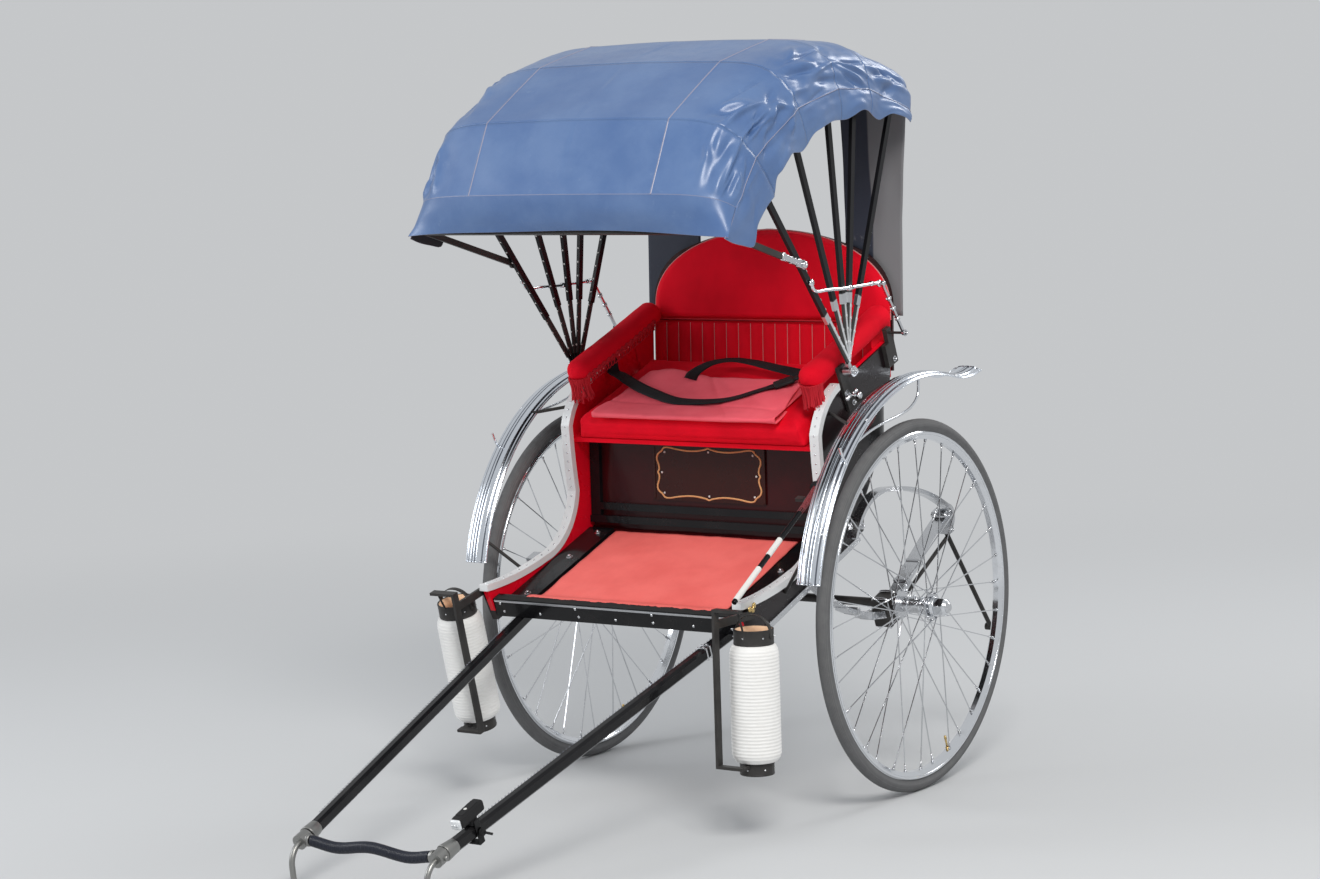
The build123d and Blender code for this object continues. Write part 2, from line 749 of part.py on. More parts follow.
def front_cover():
    """Cover from the first bow to the front seam, held by that bow while the front bow folds inside it."""
    rear = arch_band(HOOD_HALF, HEM_R - JOINT_R, SEAM_R - JOINT_R, HOOD_R - JOINT_R, COVER_T)
    front = arch_band(HOOD_HALF, FRONT_HEM_R, FRONT_SEAM_R, FRONT_CROWN_R, COVER_T)
    return loft([bow_plane(JOINT, BOWS[0][1]) * rear, bow_plane(JOINT, FRONT_SEAM_DEG) * front], ruled=True)


def valance_strip(half, seam, crown):
    """Thin curved strip as wide as the hood, with its thickness straight down."""
    outer = arch(half, 0, seam, crown)[1:4]
    inner = [Pos(0, -VALANCE_T) * edge for edge in outer]
    ends = [Line(outer[0] @ 0, inner[0] @ 0), Line(outer[-1] @ 1, inner[-1] @ 1)]
    return make_face(outer + inner + ends)


def front_valance():
    seam_plane = bow_plane(JOINT, FRONT_SEAM_DEG)
    ahead = -VALANCE_DROP if seam_plane.z_dir.Y > 0 else VALANCE_DROP
    sections = [
        seam_plane * valance_strip(VALANCE_HALF, FRONT_SEAM_R - 2 * VALANCE_IN, FRONT_CROWN_R - VALANCE_IN),
        seam_plane.offset(ahead) * valance_strip(VALANCE_LOW_HALF, VALANCE_R - 3, VALANCE_R),
    ]
    strip = loft(sections, ruled=True) - front_bow()
    return largest(strip)


CURTAIN_OUT = SIDE_OUT + 6
CURTAIN_IN = CURTAIN_OUT - 196
CURTAIN_LOW = 186
CURTAIN_SPLIT = 470
CURTAIN_SLIT = 6
CURTAIN_CORNER = 66
# half-width inside the rearmost cover, and drop below the bow
CURTAIN_WING = (HOOD_HALF - NEST * (len(BOWS) - 2) - COVER_T - 6, 150)
CURTAIN_BACK = PAD_T + SHELL_T + 2 * GAP


def rear_curtain_low():
    """Fixed strips behind the backrest."""
    width = CURTAIN_OUT - CURTAIN_IN
    high = CURTAIN_SPLIT - CURTAIN_LOW
    face = Pos(CURTAIN_IN + width / 2, CURTAIN_LOW + high / 2) * Rectangle(width, high)
    return both(extrude(back_plane(CURTAIN_BACK + COVER_T) * face, amount=COVER_T))


def rear_curtain():
    """Strips that hang from the rearmost bow down to the fixed ones."""
    slope = back_plane(CURTAIN_BACK)
    foot = slope.origin + slope.y_dir * (CURTAIN_SPLIT + CURTAIN_SLIT)
    degree = BOWS[-1][1]
    behind = Vector(0, cos(radians(degree)), -sin(radians(degree)))
    top = PIVOT + radial(degree) * (bow_crown(len(BOWS) - 1) - BOW_T) + behind * (BOW_W / 2 - 2)
    rise = top - foot
    wing_x, wing_drop = CURTAIN_WING
    outline = Polyline((CURTAIN_IN, 0), (CURTAIN_OUT, 0), (wing_x, rise.length - wing_drop),
                       (CURTAIN_OUT - 10, rise.length - CURTAIN_CORNER), (CURTAIN_IN, rise.length), close=True)
    plane = Plane(origin=foot, x_dir=(1, 0, 0), z_dir=Vector(1, 0, 0).cross(rise))
    strip = extrude(plane * make_face(outline.edges()), amount=-COVER_T) - bow(len(BOWS) - 1)
    return both(largest(strip))


PIVOT_ARM = ((66, 596), (116, 596), (90, PIVOT_Z + 16), (50, PIVOT_Z + 16))
PIVOT_ARM_T = 9


def hood_pivots():
    pin_end = BOW_X + IRON_T / 2 + 2
    arm = side_polygon(PIVOT_ARM, SIDE_OUT, SIDE_OUT + PIVOT_ARM_T)
    pin = across(PIVOT_Y, PIVOT_Z, SIDE_OUT + PIVOT_ARM_T, pin_end, PIN_R)
    return both(arm - side_trim() + pin)


# Landau irons
def link(start, end, x, width, thickness, bore):
    a, b = Vector(0, *start), Vector(0, *end)
    run = b - a
    plane = Plane(origin=(x - thickness / 2, start[0], start[1]), x_dir=run, z_dir=(1, 0, 0))
    body = Pos(run.length / 2, 0) * SlotCenterToCenter(run.length, width)
    face = body + Circle(width * 0.85) + Pos(run.length, 0) * Circle(width * 0.85)
    face -= Circle(bore)
    return extrude(plane * face, amount=thickness)


def iron_rods():
    return both(link(ROD_START, ELBOW, ROD_X, STAY_W, STAY_T, ROD_PIN_R + RUNNING_GAP))


def iron_stays():
    return both(link(STAY_END, ELBOW, STAY_X, STAY_W, STAY_T, STAY_PIN_R + RUNNING_GAP))


def stay_brackets():
    y, z = STAY_END
    out = SIDE_OUT + STAY_BRACKET_T
    foot = block(SIDE_OUT, out, y - 34, y + 20, z - 100, z - 30)
    arm = block(SIDE_OUT, out, y - 12, y + 14, z - 60, z + 14)
    pin = across(y, z, out, STAY_X + STAY_T / 2 + 2, STAY_PIN_R)
    return both(foot + arm + pin)


# Legs that stop the body tipping back
STAND_KNEE = (408, 30)
STAND_FOOT = (551, -381)
BRACE_ENDS = ((414, 8), (30, -48))
LEG_R = 7
BRACE_R = 6
SHOE_R = 11
SHOE_HALF = 16


def rear_stand():
    leg = rod((SPRING_X, *STAND_KNEE), (SPRING_X, *STAND_FOOT), LEG_R)
    shoe = across(*STAND_FOOT, SPRING_X - SHOE_HALF, SPRING_X + SHOE_HALF, SHOE_R)
    brace = rod((SPRING_X, *BRACE_ENDS[0]), (SPRING_X, *BRACE_ENDS[1]), BRACE_R)
    side = leg + shoe + brace
    for cutter in spring_hangers() + springs() + spring_clamps():
        side -= cutter
    return both(largest(side))


# Lamp, lanterns and parasol
LAMP_W = 44
LAMP_H = 42
# share of the shaft's length from its root
LAMP_AT = 0.925
LAMP_FRONT = 60
LAMP_REAR = 50
LAMP_FOOT = 12
LAMP_CLAMP_HALF = 18


def lamp():
    centre = Vector(*SHAFT_ROOT) * (1 - LAMP_AT) + Vector(*SHAFT_END) * LAMP_AT
    low = centre.Z + SHAFT_H / 2 + LAMP_FOOT + 2
    half, half_clamp = LAMP_W / 2, LAMP_W / 2 - 2
    x, y = centre.X, centre.Y
    case = block(x - half, x + half, y - LAMP_FRONT, y + LAMP_REAR, low, low + LAMP_H)
    clamp = block(x - half_clamp, x + half_clamp, y - LAMP_CLAMP_HALF, y + LAMP_CLAMP_HALF,
                  low - SHAFT_H - 2 * LAMP_FOOT, low)
    return case + clamp - shaft()


LANTERN_R = 70
LANTERN_H = 330
RING_R = 56
RING_H = 42
BASE_R = 48
BASE_H = 34
LANTERN_X = SIDE_OUT + 78
# side, y and z of the lantern's top on the ground frame, lean of its axis
LANTERNS = ((1, -800, 600, 0), (-1, -765, 606, 14))


def lantern_place(side, y, z, lean):
    return Pos(side * LANTERN_X, y, z) * Rot(lean, 0, 0)


def lantern_body():
    edges = [
        Line((0, -RING_H), (RING_R, -RING_H)),
        ThreePointArc((RING_R, -RING_H), (LANTERN_R - 3, -RING_H - 10), (LANTERN_R, -RING_H - 34)),
        Line((LANTERN_R, -RING_H - 34), (LANTERN_R, -RING_H - LANTERN_H + 34)),
        ThreePointArc((LANTERN_R, -RING_H - LANTERN_H + 34), (LANTERN_R - 5, -RING_H - LANTERN_H + 10),
                      (BASE_R, -RING_H - LANTERN_H)),
        Polyline((BASE_R, -RING_H - LANTERN_H), (0, -RING_H - LANTERN_H), (0, -RING_H)),
    ]
    return revolve(Plane.XZ * make_face(edges), Axis.Z, 360)


def lanterns():
    return [lantern_place(*row) * lantern_body() for row in LANTERNS]


def lantern_fittings():
    """Rings, hanger hoop and flat iron bracket of each lantern."""
    pieces = []
    low = -RING_H - LANTERN_H
    for side, y, z, lean in LANTERNS:
        ring = Pos(0, 0, -RING_H / 2) * (Cylinder(RING_R, RING_H) - Cylinder(RING_R - 4, RING_H))
        base = Pos(0, 0, low - BASE_H / 2) * Cylinder(BASE_R, BASE_H)
        inner = LANTERN_X - SIDE_OUT - TRIM_OUT - GAP
        spine = block(*sorted((-side * inner, -side * (inner - 8))), -96, -72, low - 10, 62)
        top = block(*sorted((-side * inner, side * 12)), -96, -72, 54, 62)
        hook = block(*sorted((-side * inner, side * 12)), -96, -72, low - 10, low - 2)
        tongue = block(-9, 9, -90, 0, low - 10, low - 2) - base
        hoop = rod((0, -76, 56), (0, 2 - RING_R, -4), 3)
        arm = block(*sorted((-side * inner, -side * (inner - 8))), -96, 108, 6, 30)
        frame = spine + top + hook + tongue + hoop + arm
        pieces.append(lantern_place(side, y, z, lean) * (ring + base + frame))
    return pieces


PARASOL_START = (BOW_X, -740, 408)
PARASOL_END = (BOW_X, 130, 566)
HANDLE_R = 8
HANDLE_SHARE = 0.45
# distance past the handle as a share of the canopy, and its radius, of each section
CANOPY = ((0, 10), (0.11, 16), (1, 21))


def parasol():
    start, end = Vector(*PARASOL_START), Vector(*PARASOL_END)
    run = end - start
    handle = extrude(Plane(origin=start, z_dir=run) * Circle(HANDLE_R), amount=run.length * HANDLE_SHARE)
    neck = Plane(origin=start + run * HANDLE_SHARE, z_dir=run)
    reach = run.length * (1 - HANDLE_SHARE)
    sections = [neck.offset(share * reach) * RegularPolygon(radius, 8) for share, radius in CANOPY]
    return handle + loft(sections, ruled=True)


def solids_of(shape):
    pieces = shape if isinstance(shape, list) else [shape]
    return [solid for piece in pieces for solid in piece.solids()]


def keep(name, shape, leaned=True):
    solids = solids_of(shape)
    if leaned:
        solids = [solid for piece in solids for solid in park(piece).solids()]
    export_step(Compound(children=solids), f"parts/{name}.step")


def main():
    os.makedirs("parts", exist_ok=True)
    for side, sign in (("left", 1), ("right", -1)):
        for name, make in (("tyre", tyre), ("rim", rim), ("hub", hub), ("spokes", spokes)):
            wheel = [Pos(TRACK / 2, 0, 0) * piece for piece in solids_of(make())]
            keep(f"{name}_{side}", wheel if sign > 0 else [mirror(piece, Plane.YZ) for piece in wheel])
    for make in (axle, springs, spring_clamps, spring_hangers, crossbar, shaft_tips, floor_deck, front_rail,
                 floor_side_boards, floor_mat, riser_panel, riser_frame, plate, seat_board, rear_panel, seat_cushion,
                 lap_cloth, seat_belt, backrest_pad, backrest_pleats, backrest_shell, armrests, guard_stays,
                 hood_pivots, joint_pins, front_bow, front_cover, front_valance, rear_curtain, rear_curtain_low,
                 iron_rods, iron_stays, stay_brackets, rear_stand, sill_irons, lamp, parasol):
        keep(make.__name__, make())
    keep("shafts", both(shaft()))
    keep("side_panels", both(side_panel()))
    keep("side_trims", both(side_trim()))
    keep("mudguards", both(mudguard()))
    for index, (name, _) in enumerate(BOWS):
        keep(name, bow(index))
    for index in range(len(BOWS) - 1):
        keep(f"cover_{index + 1}", cover(index))
    keep("lanterns", lanterns(), leaned=False)
    keep("lantern_fittings", lantern_fittings(), leaned=False)


main()
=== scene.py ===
import math
import random

import bmesh
import bpy
from mathutils import Matrix, Vector, noise


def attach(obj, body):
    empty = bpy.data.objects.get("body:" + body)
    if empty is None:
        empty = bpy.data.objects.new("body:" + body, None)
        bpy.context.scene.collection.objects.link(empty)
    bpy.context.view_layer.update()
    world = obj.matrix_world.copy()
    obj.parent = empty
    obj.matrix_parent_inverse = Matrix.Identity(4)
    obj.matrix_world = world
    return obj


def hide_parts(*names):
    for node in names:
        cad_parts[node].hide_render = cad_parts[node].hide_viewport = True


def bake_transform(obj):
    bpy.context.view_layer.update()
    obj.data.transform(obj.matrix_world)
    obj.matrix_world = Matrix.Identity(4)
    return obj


# Pulled rickshaw: upholstery, hood cloth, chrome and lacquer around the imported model.
# New pieces are drawn in millimetres in the level frame of the vehicle, with the axle's centre
# at the origin, and are lowered onto the shaft tips by PARK. Lanterns are drawn in the ground frame.
# +X is the vehicle's left side, -Y its front.

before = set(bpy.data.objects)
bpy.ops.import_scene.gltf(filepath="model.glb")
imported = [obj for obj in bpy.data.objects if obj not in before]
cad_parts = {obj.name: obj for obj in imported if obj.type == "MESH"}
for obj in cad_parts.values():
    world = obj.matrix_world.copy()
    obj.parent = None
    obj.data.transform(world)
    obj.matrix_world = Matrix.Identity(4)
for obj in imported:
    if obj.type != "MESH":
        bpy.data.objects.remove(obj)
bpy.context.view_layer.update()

WHEEL_R = 550
TRACK = 1175
TIP_Y, TIP_Z, TIP_R = -1955, 134, 8
LEAN = math.asin((WHEEL_R - TIP_R) / math.hypot(TIP_Y, TIP_Z)) + math.atan2(TIP_Z, -TIP_Y)
PARK = Matrix.Translation((0, 0, WHEEL_R / 1000)) @ Matrix.Rotation(LEAN, 4, "X") @ Matrix.Scale(0.001, 4)
GROUND = Matrix.Scale(0.001, 4)
BODY = "body"
SIDES = (1, -1)
UPRIGHT = (0, 0, 1)

# Level-frame sizes shared with the solids
PIVOT = (70, 725)
BOWS = (-20.5, -2.5, 13.3, 25.0, 41.0)
JOINT_R = 426
HOOD_R = 985
SEAM_R = 832
FRONT_SEAM_DEG = -44.5
FRONT_CROWN_R, FRONT_SEAM_R = 512, 412
RECLINE = math.radians(21.4)
BACK_FOOT = (352, 565)
GUARD_Y, GUARD_R, GUARD_IN, GUARD_W = 55, 668, 546, 74
GUARD_FRONT_DEG, GUARD_REAR_DEG, TAIL_R, TAIL_DEG = 149, 57, 250, 32
GROOVES = (0.16, 0.46, 0.60, 0.84)


def hand(side):
    return "left" if side > 0 else "right"


def mirrored(side, point):
    """The point itself on the left side, and its mirror image on the right."""
    return Vector((side * point.x, point.y, point.z))


def parked(x, y, z):
    return PARK @ Vector((x, y, z))


def lerp(a, b, t):
    return a + (b - a) * t


def smooth(t):
    t = min(max(t, 0.0), 1.0)
    return t * t * (3 - 2 * t)


def ripple(*at):
    """Smooth noise from about -1 to 1 at a place."""
    return noise.noise(Vector(at))


# Shaders
class Value:
    """A shader socket on which Python's operators add Math nodes."""

    def __init__(self, look, socket):
        self.look, self.socket = look, socket

    def math(self, operation, *others):
        return self.look.node("ShaderNodeMath", {"operation": operation}, self, *others)

    def __add__(self, other):
        return self.math("ADD", other)

    def __sub__(self, other):
        return self.math("SUBTRACT", other)

    def __rsub__(self, other):
        return self.look.node("ShaderNodeMath", {"operation": "SUBTRACT"}, other, self)

    def __mul__(self, other):
        return self.math("MULTIPLY", other)

    def __abs__(self):
        return self.math("ABSOLUTE")

    def between(self, low, high):
        """0 at low to 1 at high, eased."""
        return self.look.node("ShaderNodeMapRange", {"interpolation_type": "SMOOTHSTEP"}, self,
                              float(low), float(high))

    __radd__, __rmul__ = __add__, __mul__


class Look:
    """A material built round one Principled shader."""

    def __init__(self, name, **constants):
        self.material = bpy.data.materials.new(name)
        self.material.use_nodes = True
        self.tree = self.material.node_tree
        self.shader = self.tree.nodes["Principled BSDF"]
        self.coords = self.node("ShaderNodeTexCoord", {}, out="Object")
        for key, value in constants.items():
            self.set(key.replace("_", " ").title().replace("Ior", "IOR"), value)

    def node(self, kind, settings, *values, out=0, **named):
        made = self.tree.nodes.new(kind)
        for key, value in settings.items():
            setattr(made, key, value)
        for key, value in [*enumerate(values), *((k.replace("_", " "), v) for k, v in named.items())]:
            self.feed(made.inputs[key], value)
        return Value(self, made.outputs[out])

    def feed(self, socket, value):
        if isinstance(value, Value):
            self.tree.links.new(value.socket, socket)
        elif hasattr(value, "__len__") and len(value) == 3 and len(socket.default_value) == 4:
            socket.default_value = (*value, 1)
        else:
            socket.default_value = value

    def set(self, name, value):
        self.feed(self.shader.inputs[name], value)

    def noise(self, scale, detail, roughness, at=None):
        return self.node("ShaderNodeTexNoise", {}, Vector=at or self.coords, Scale=scale, Detail=detail,
                         Roughness=roughness)

    def mix(self, factor, a, b):
        made = self.tree.nodes.new("ShaderNodeMix")
        made.data_type = "RGBA"
        for name, value in (("Factor_Float", factor), ("A_Color", a), ("B_Color", b)):
            self.feed(next(s for s in made.inputs if s.identifier == name), value)
        return Value(self, next(s for s in made.outputs if s.identifier == "Result_Color"))

    def axes(self):
        split = self.node("ShaderNodeSeparateXYZ", {}, self.coords)
        return split, Value(self, split.socket.node.outputs[1]), Value(self, split.socket.node.outputs[2])

    def distance(self, centre):
        """Distance from a level axis across the vehicle, in metres."""
        _, y, z = self.axes()
        dy, dz = y - centre.y, z - centre.z
        return (dy * dy + dz * dz).math("SQRT")

    def finish(self, colour, roughness=None, bump=None):
        """Colour, and where given roughness and bump (height, distance, strength). Returns the material."""
        self.set("Base Color", colour)
        if roughness is not None:
            self.set("Roughness", roughness)
        if bump:
            height, distance, strength = bump
            made = self.node("ShaderNodeBump", {}, Height=height, Distance=distance, Strength=strength)
            self.set("Normal", made)
        return self.material


def velvet(name, colour, deep, sheen=0.25):
    look = Look(name, roughness=0.82, specular_ior_level=0.12, sheen_weight=sheen, sheen_roughness=0.35,
                sheen_tint=(1, 0.06, 0.09, 1))
    cloud = look.noise(5, 3, 0.6)
    nap = look.noise(420, 2, 0.7)
    base = look.mix(cloud.between(0.3, 0.72) * 0.55 + nap * 0.25, colour, deep)
    return look.finish(base, 0.74 + nap * 0.18, (nap + cloud * 0.3, 0.0006, 0.35))


def woven(name, colour, shade, pitch, strength, roughness=0.8):
    """Plain weave from two crossed waves."""
    look = Look(name, roughness=roughness, specular_ior_level=0.22)
    x, y, z = look.axes()
    weave = (x * pitch).math("SINE") * ((y + z) * pitch).math("SINE") * 0.5 + 0.5
    cloud = look.noise(7, 4, 0.6)
    base = look.mix(cloud.between(0.3, 0.7) * 0.6 + weave * 0.15, colour, shade)
    return look.finish(base, None, (weave * 0.6 + cloud, 0.0008, strength))


def lacquer(name, colour, dull, roughness=0.16):
    look = Look(name, specular_ior_level=0.2, coat_weight=0.16, coat_roughness=0.05)
    cloud = look.noise(9, 5, 0.6)
    dust = look.noise(160, 3, 0.6)
    rough = roughness + cloud.between(0.4, 0.8) * 0.14 + dust * 0.06
    return look.finish(look.mix(cloud.between(0.45, 0.8) * 0.5, colour, dull), rough, (cloud, 0.0006, 0.12))


def plated(name, tone, roughness=0.09, stain=(0.35, 0.33, 0.30)):
    look = Look(name, metallic=1.0)
    cloud = look.noise(14, 5, 0.65)
    speck = look.noise(260, 2, 0.5).between(0.66, 0.74)
    base = look.mix(cloud.between(0.55, 0.85) * 0.35 + speck * 0.25, tone, stain)
    return look.finish(base, roughness + cloud.between(0.4, 0.8) * 0.12 + speck * 0.2)


def painted(name, colour, chip=(0.16, 0.15, 0.14), roughness=0.34):
    look = Look(name, specular_ior_level=0.18)
    cloud = look.noise(11, 4, 0.6)
    wear = look.noise(75, 5, 0.75).between(0.69, 0.74)
    base = look.mix(wear * 0.8, look.mix(cloud * 0.4, colour, chip), chip)
    rough = roughness + cloud * 0.12 + wear * 0.25
    return look.finish(base, rough, (look.noise(300, 2, 0.5), 0.0002, 0.2))


def umbrella_cloth():
    """Deep red folded cloth with fine paler lines along it."""
    look = Look("umbrella_cloth", roughness=0.6, sheen_weight=0.15)
    x, y, z = look.axes()
    line = (y * 620 + z * 410).math("SINE").between(0.62, 0.95)
    cross = (x * 900 + z * 500).math("SINE").between(0.75, 0.98)
    deep = look.mix(look.noise(25, 3, 0.6), (0.20, 0.006, 0.012), (0.085, 0.003, 0.008))
    base = look.mix(line * 0.35 + cross * 0.2, deep, (0.55, 0.16, 0.17))
    return look.finish(base, None, (look.noise(500, 2, 0.5), 0.0004, 0.3))


def lens_look():
    look = Look("lamp_lens", specular_ior_level=0.6, coat_weight=0.8, coat_roughness=0.05, roughness=0.25)
    speck = look.noise(120, 3, 0.6)
    base = look.mix(speck.between(0.4, 0.7), (0.80, 0.82, 0.84), (0.62, 0.65, 0.68))
    return look.finish(base, None, (speck, 0.0006, 0.3))


def binding_look():
    """Dark plastic binding on the bar, scuffed pale in places."""
    look = Look("bar_binding", specular_ior_level=0.5)
    scuff = look.noise(90, 4, 0.7).between(0.66, 0.76)
    cloud = look.noise(20, 3, 0.6)
    dark = look.mix(cloud, (0.008, 0.010, 0.020), (0.018, 0.022, 0.036))
    return look.finish(look.mix(scuff * 0.7, dark, (0.30, 0.31, 0.33)), 0.28 + cloud * 0.15 + scuff * 0.3)


def guard_look():
    """Plating that darkens in the pressed grooves, a painted dark reflection of the ribs' sides."""
    look = Look("guard_chrome", metallic=1.0)
    share = (abs(look.axes()[0]) * 1000 - GUARD_IN) * (1 / GUARD_W)
    # Painted reflection: each pressed groove turns near black, standing in for the dark reflected sides of
    # the ribs.
    groove = 0
    for at in GROOVES:
        groove = (1 - abs(share - at).between(0.012, 0.038)) + groove
    cloud = look.noise(14, 5, 0.65)
    plate = look.mix(cloud.between(0.55, 0.85) * 0.3, (0.78, 0.82, 0.88), (0.40, 0.39, 0.38))
    rough = 0.15 + cloud.between(0.4, 0.8) * 0.10
    return look.finish(look.mix(groove * 0.85, plate, (0.05, 0.06, 0.09)), rough)


def hood_cloth():
    """Coated cloth: soft gloss, mottled wear and a pale seam where the attribute marks one."""
    look = Look("hood_cloth", specular_ior_level=0.45, coat_weight=0.24, coat_roughness=0.3)
    cloud = look.noise(4.5, 5, 0.62)
    rub = look.noise(26, 5, 0.7)
    grain = look.noise(620, 2, 0.6)
    seam = look.node("ShaderNodeAttribute", {"attribute_name": "seam"}, out="Fac")
    dark = look.mix(cloud.between(0.32, 0.7), (0.068, 0.137, 0.310), (0.103, 0.180, 0.357))
    worn = look.mix(rub.between(0.6, 0.82) * 0.4, dark, (0.21, 0.29, 0.44))
    rough = 0.27 + cloud * 0.12 + rub.between(0.4, 0.8) * 0.12
    bump = (grain * 0.35 + rub * 0.8 + cloud, 0.0012, 0.22)
    return look.finish(look.mix(seam * 0.8, worn, (0.34, 0.31, 0.37)), rough, bump)


def lining():
    look = Look("hood_lining", roughness=0.85, sheen_weight=0.1)
    base = look.mix(look.noise(9, 4, 0.6), (0.012, 0.014, 0.02), (0.028, 0.03, 0.038))
    return look.finish(base, None, (look.noise(500, 2, 0.6), 0.0005, 0.3))


def curtain_cloth():
    """Navy cloth, grey and faintly stained on the outer half of the left curtain."""
    look = Look("curtain_cloth", specular_ior_level=0.4)
    outer_half = look.axes()[0].between(0.355, 0.362)
    stain = look.noise(18, 5, 0.7)
    plain = look.mix(outer_half, (0.028, 0.034, 0.055), (0.20, 0.20, 0.21))
    base = look.mix(stain.between(0.62, 0.8) * 0.45, plain, (0.34, 0.34, 0.34))
    return look.finish(base, 0.55 + stain * 0.2, (stain + look.noise(500, 2, 0.6) * 0.3, 0.001, 0.2))


def tyre_rubber():
    """Grey road rubber, with grooves round the tread and a smooth side."""
    look = Look("tyre_rubber", specular_ior_level=0.35)
    off = abs(abs(look.axes()[0]) - TRACK / 2000)
    tread = look.distance(Vector((0, 0, WHEEL_R / 1000))).between(0.532, 0.536)
    groove = (off * 1800).math("SINE").between(0.55, 0.9) * tread
    dust = look.noise(30, 5, 0.7)
    base = look.mix(dust * 0.7 + groove * 0.25, (0.085, 0.086, 0.09), (0.20, 0.20, 0.20))
    return look.finish(base, 0.62 + dust * 0.2, (dust * 0.4 - groove, 0.0015, 0.6))


def side_panel_look():
    """Red upholstery inside the body and dark lacquer outside, parted along the panel's edge."""
    look = Look("side_panel", specular_ior_level=0.2, coat_roughness=0.08)
    x, y, z = look.axes()
    level = (z - WHEEL_R / 1000) * math.cos(LEAN) - y * math.sin(LEAN)
    outside = abs(x).between(0.4455, 0.4460).math("MAXIMUM", 1 - level.between(0.263, 0.265))
    cloud = look.noise(8, 4, 0.6)
    red = look.mix(cloud, (0.86, 0.004, 0.022), (0.70, 0.003, 0.016))
    look.set("Coat Weight", outside * 0.1 + 0.2)
    return look.finish(look.mix(outside, red, (0.010, 0.006, 0.007)), 0.22 + cloud * 0.12)


def white_capping():
    look = Look("white_capping", specular_ior_level=0.5, coat_weight=0.3, coat_roughness=0.15)
    scuff = look.noise(60, 5, 0.75)
    base = look.mix(scuff.between(0.6, 0.78) * 0.6, (0.74, 0.75, 0.76), (0.42, 0.41, 0.40))
    return look.finish(base, 0.3 + scuff * 0.2, (scuff, 0.0004, 0.2))


def lantern_paper():
    """Pale paper with fibres that run round the lantern."""
    look = Look("lantern_paper", roughness=0.72, sheen_weight=0.1)
    squeezed = look.node("ShaderNodeMapping", {}, Vector=look.coords, Scale=(1, 1, 6))
    fibre = look.noise(55, 5, 0.75, squeezed)
    base = look.mix(fibre.between(0.35, 0.75) * 0.5, (0.86, 0.855, 0.84), (0.74, 0.72, 0.68))
    return look.finish(base, None, (fibre, 0.0005, 0.25))


def bow_look():
    """Black bar that turns to a plated iron near the pivot, on the vehicle's left side."""
    look = Look("bow_bar", specular_ior_level=0.2)
    near = 1 - look.distance(parked(0, *PIVOT)).between(0.226, 0.230)
    metal = near * look.axes()[0].between(0.0, 0.02)
    cloud = look.noise(16, 4, 0.6)
    black = look.mix(cloud * 0.5, (0.006, 0.006, 0.007), (0.014, 0.014, 0.017))
    look.set("Metallic", metal)
    return look.finish(look.mix(metal, black, (0.62, 0.63, 0.65)), 0.26 + cloud * 0.12)


RED, DEEP_RED = (0.90, 0.004, 0.022), (0.60, 0.002, 0.013)
CORAL, DEEP_CORAL = (0.90, 0.185, 0.165), (0.78, 0.13, 0.115)

M = {
    "umbrella": umbrella_cloth(),
    "lens": lens_look(),
    "binding": binding_look(),
    "thread": painted("shaft_thread", (0.24, 0.25, 0.30), (0.10, 0.10, 0.12), 0.6),
    "piping": woven("edge_piping", (0.70, 0.30, 0.30), (0.58, 0.18, 0.19), 2200, 0.2, 0.6),
    # Painted glow: warm orange on the inside of the lanterns stands in for light inside them; there is no
    # lamp there.
    "glow": painted("lantern_painted_glow", (0.88, 0.60, 0.40), (0.80, 0.48, 0.30), 0.8),
    "grip": painted("white_grip", (0.80, 0.79, 0.76), (0.55, 0.54, 0.52), 0.45),
    "guard": guard_look(),
    "worn": plated("worn_tips", (0.31, 0.31, 0.30), 0.38, (0.28, 0.18, 0.09)),
    "velvet": velvet("red_velvet", RED, DEEP_RED),
    "pleats": velvet("red_velvet_pleats", (0.84, 0.004, 0.020), DEEP_RED, 0.2),
    "braid": velvet("red_braid", (0.62, 0.030, 0.045), (0.40, 0.010, 0.018), 0.3),
    "lap": woven("lap_weave", (0.93, 0.135, 0.175), (0.84, 0.085, 0.12), 1400, 0.25),
    "mat": woven("mat_weave", CORAL, DEEP_CORAL, 1200, 0.2, 0.62),
    "web": woven("belt_web", (0.006, 0.006, 0.008), (0.016, 0.016, 0.018), 2600, 0.5, 0.62),
    "black": lacquer("black_lacquer", (0.006, 0.006, 0.007), (0.02, 0.018, 0.018)),
    "maroon": lacquer("maroon_lacquer", (0.040, 0.003, 0.004), (0.016, 0.002, 0.002), 0.12),
    "plate": lacquer("plate_lacquer", (0.035, 0.006, 0.004), (0.02, 0.004, 0.003), 0.2),
    "shell": lacquer("shell_lacquer", (0.03, 0.006, 0.006), (0.012, 0.004, 0.004), 0.2),
    "chrome": plated("chrome", (0.80, 0.82, 0.85)),
    "bright": plated("bright_plating", (0.66, 0.67, 0.69), 0.2),
    "irons": plated("hood_irons", (0.82, 0.83, 0.84), 0.32),
    "dull": plated("dull_plating", (0.52, 0.53, 0.55), 0.3),
    "brass": plated("brass", (0.72, 0.52, 0.22), 0.25, (0.30, 0.20, 0.08)),
    "iron": painted("black_iron", (0.010, 0.010, 0.011)),
    "gold": painted("gold_border", (0.72, 0.38, 0.17), (0.50, 0.24, 0.09), 0.42),
    "rivet": painted("pale_rivet", (0.70, 0.70, 0.68), (0.45, 0.44, 0.42), 0.3),
    "plastic": painted("lamp_plastic", (0.012, 0.012, 0.013), (0.03, 0.03, 0.03), 0.45),
    "rubber_edge": painted("rubber_edge", (0.016, 0.016, 0.016), (0.05, 0.05, 0.05), 0.7),
    "hood": hood_cloth(),
    "lining": lining(),
    "curtain": curtain_cloth(),
    "tyre": tyre_rubber(),
    "side": side_panel_look(),
    "white": white_capping(),
    "paper": lantern_paper(),
    "bow": bow_look(),
}


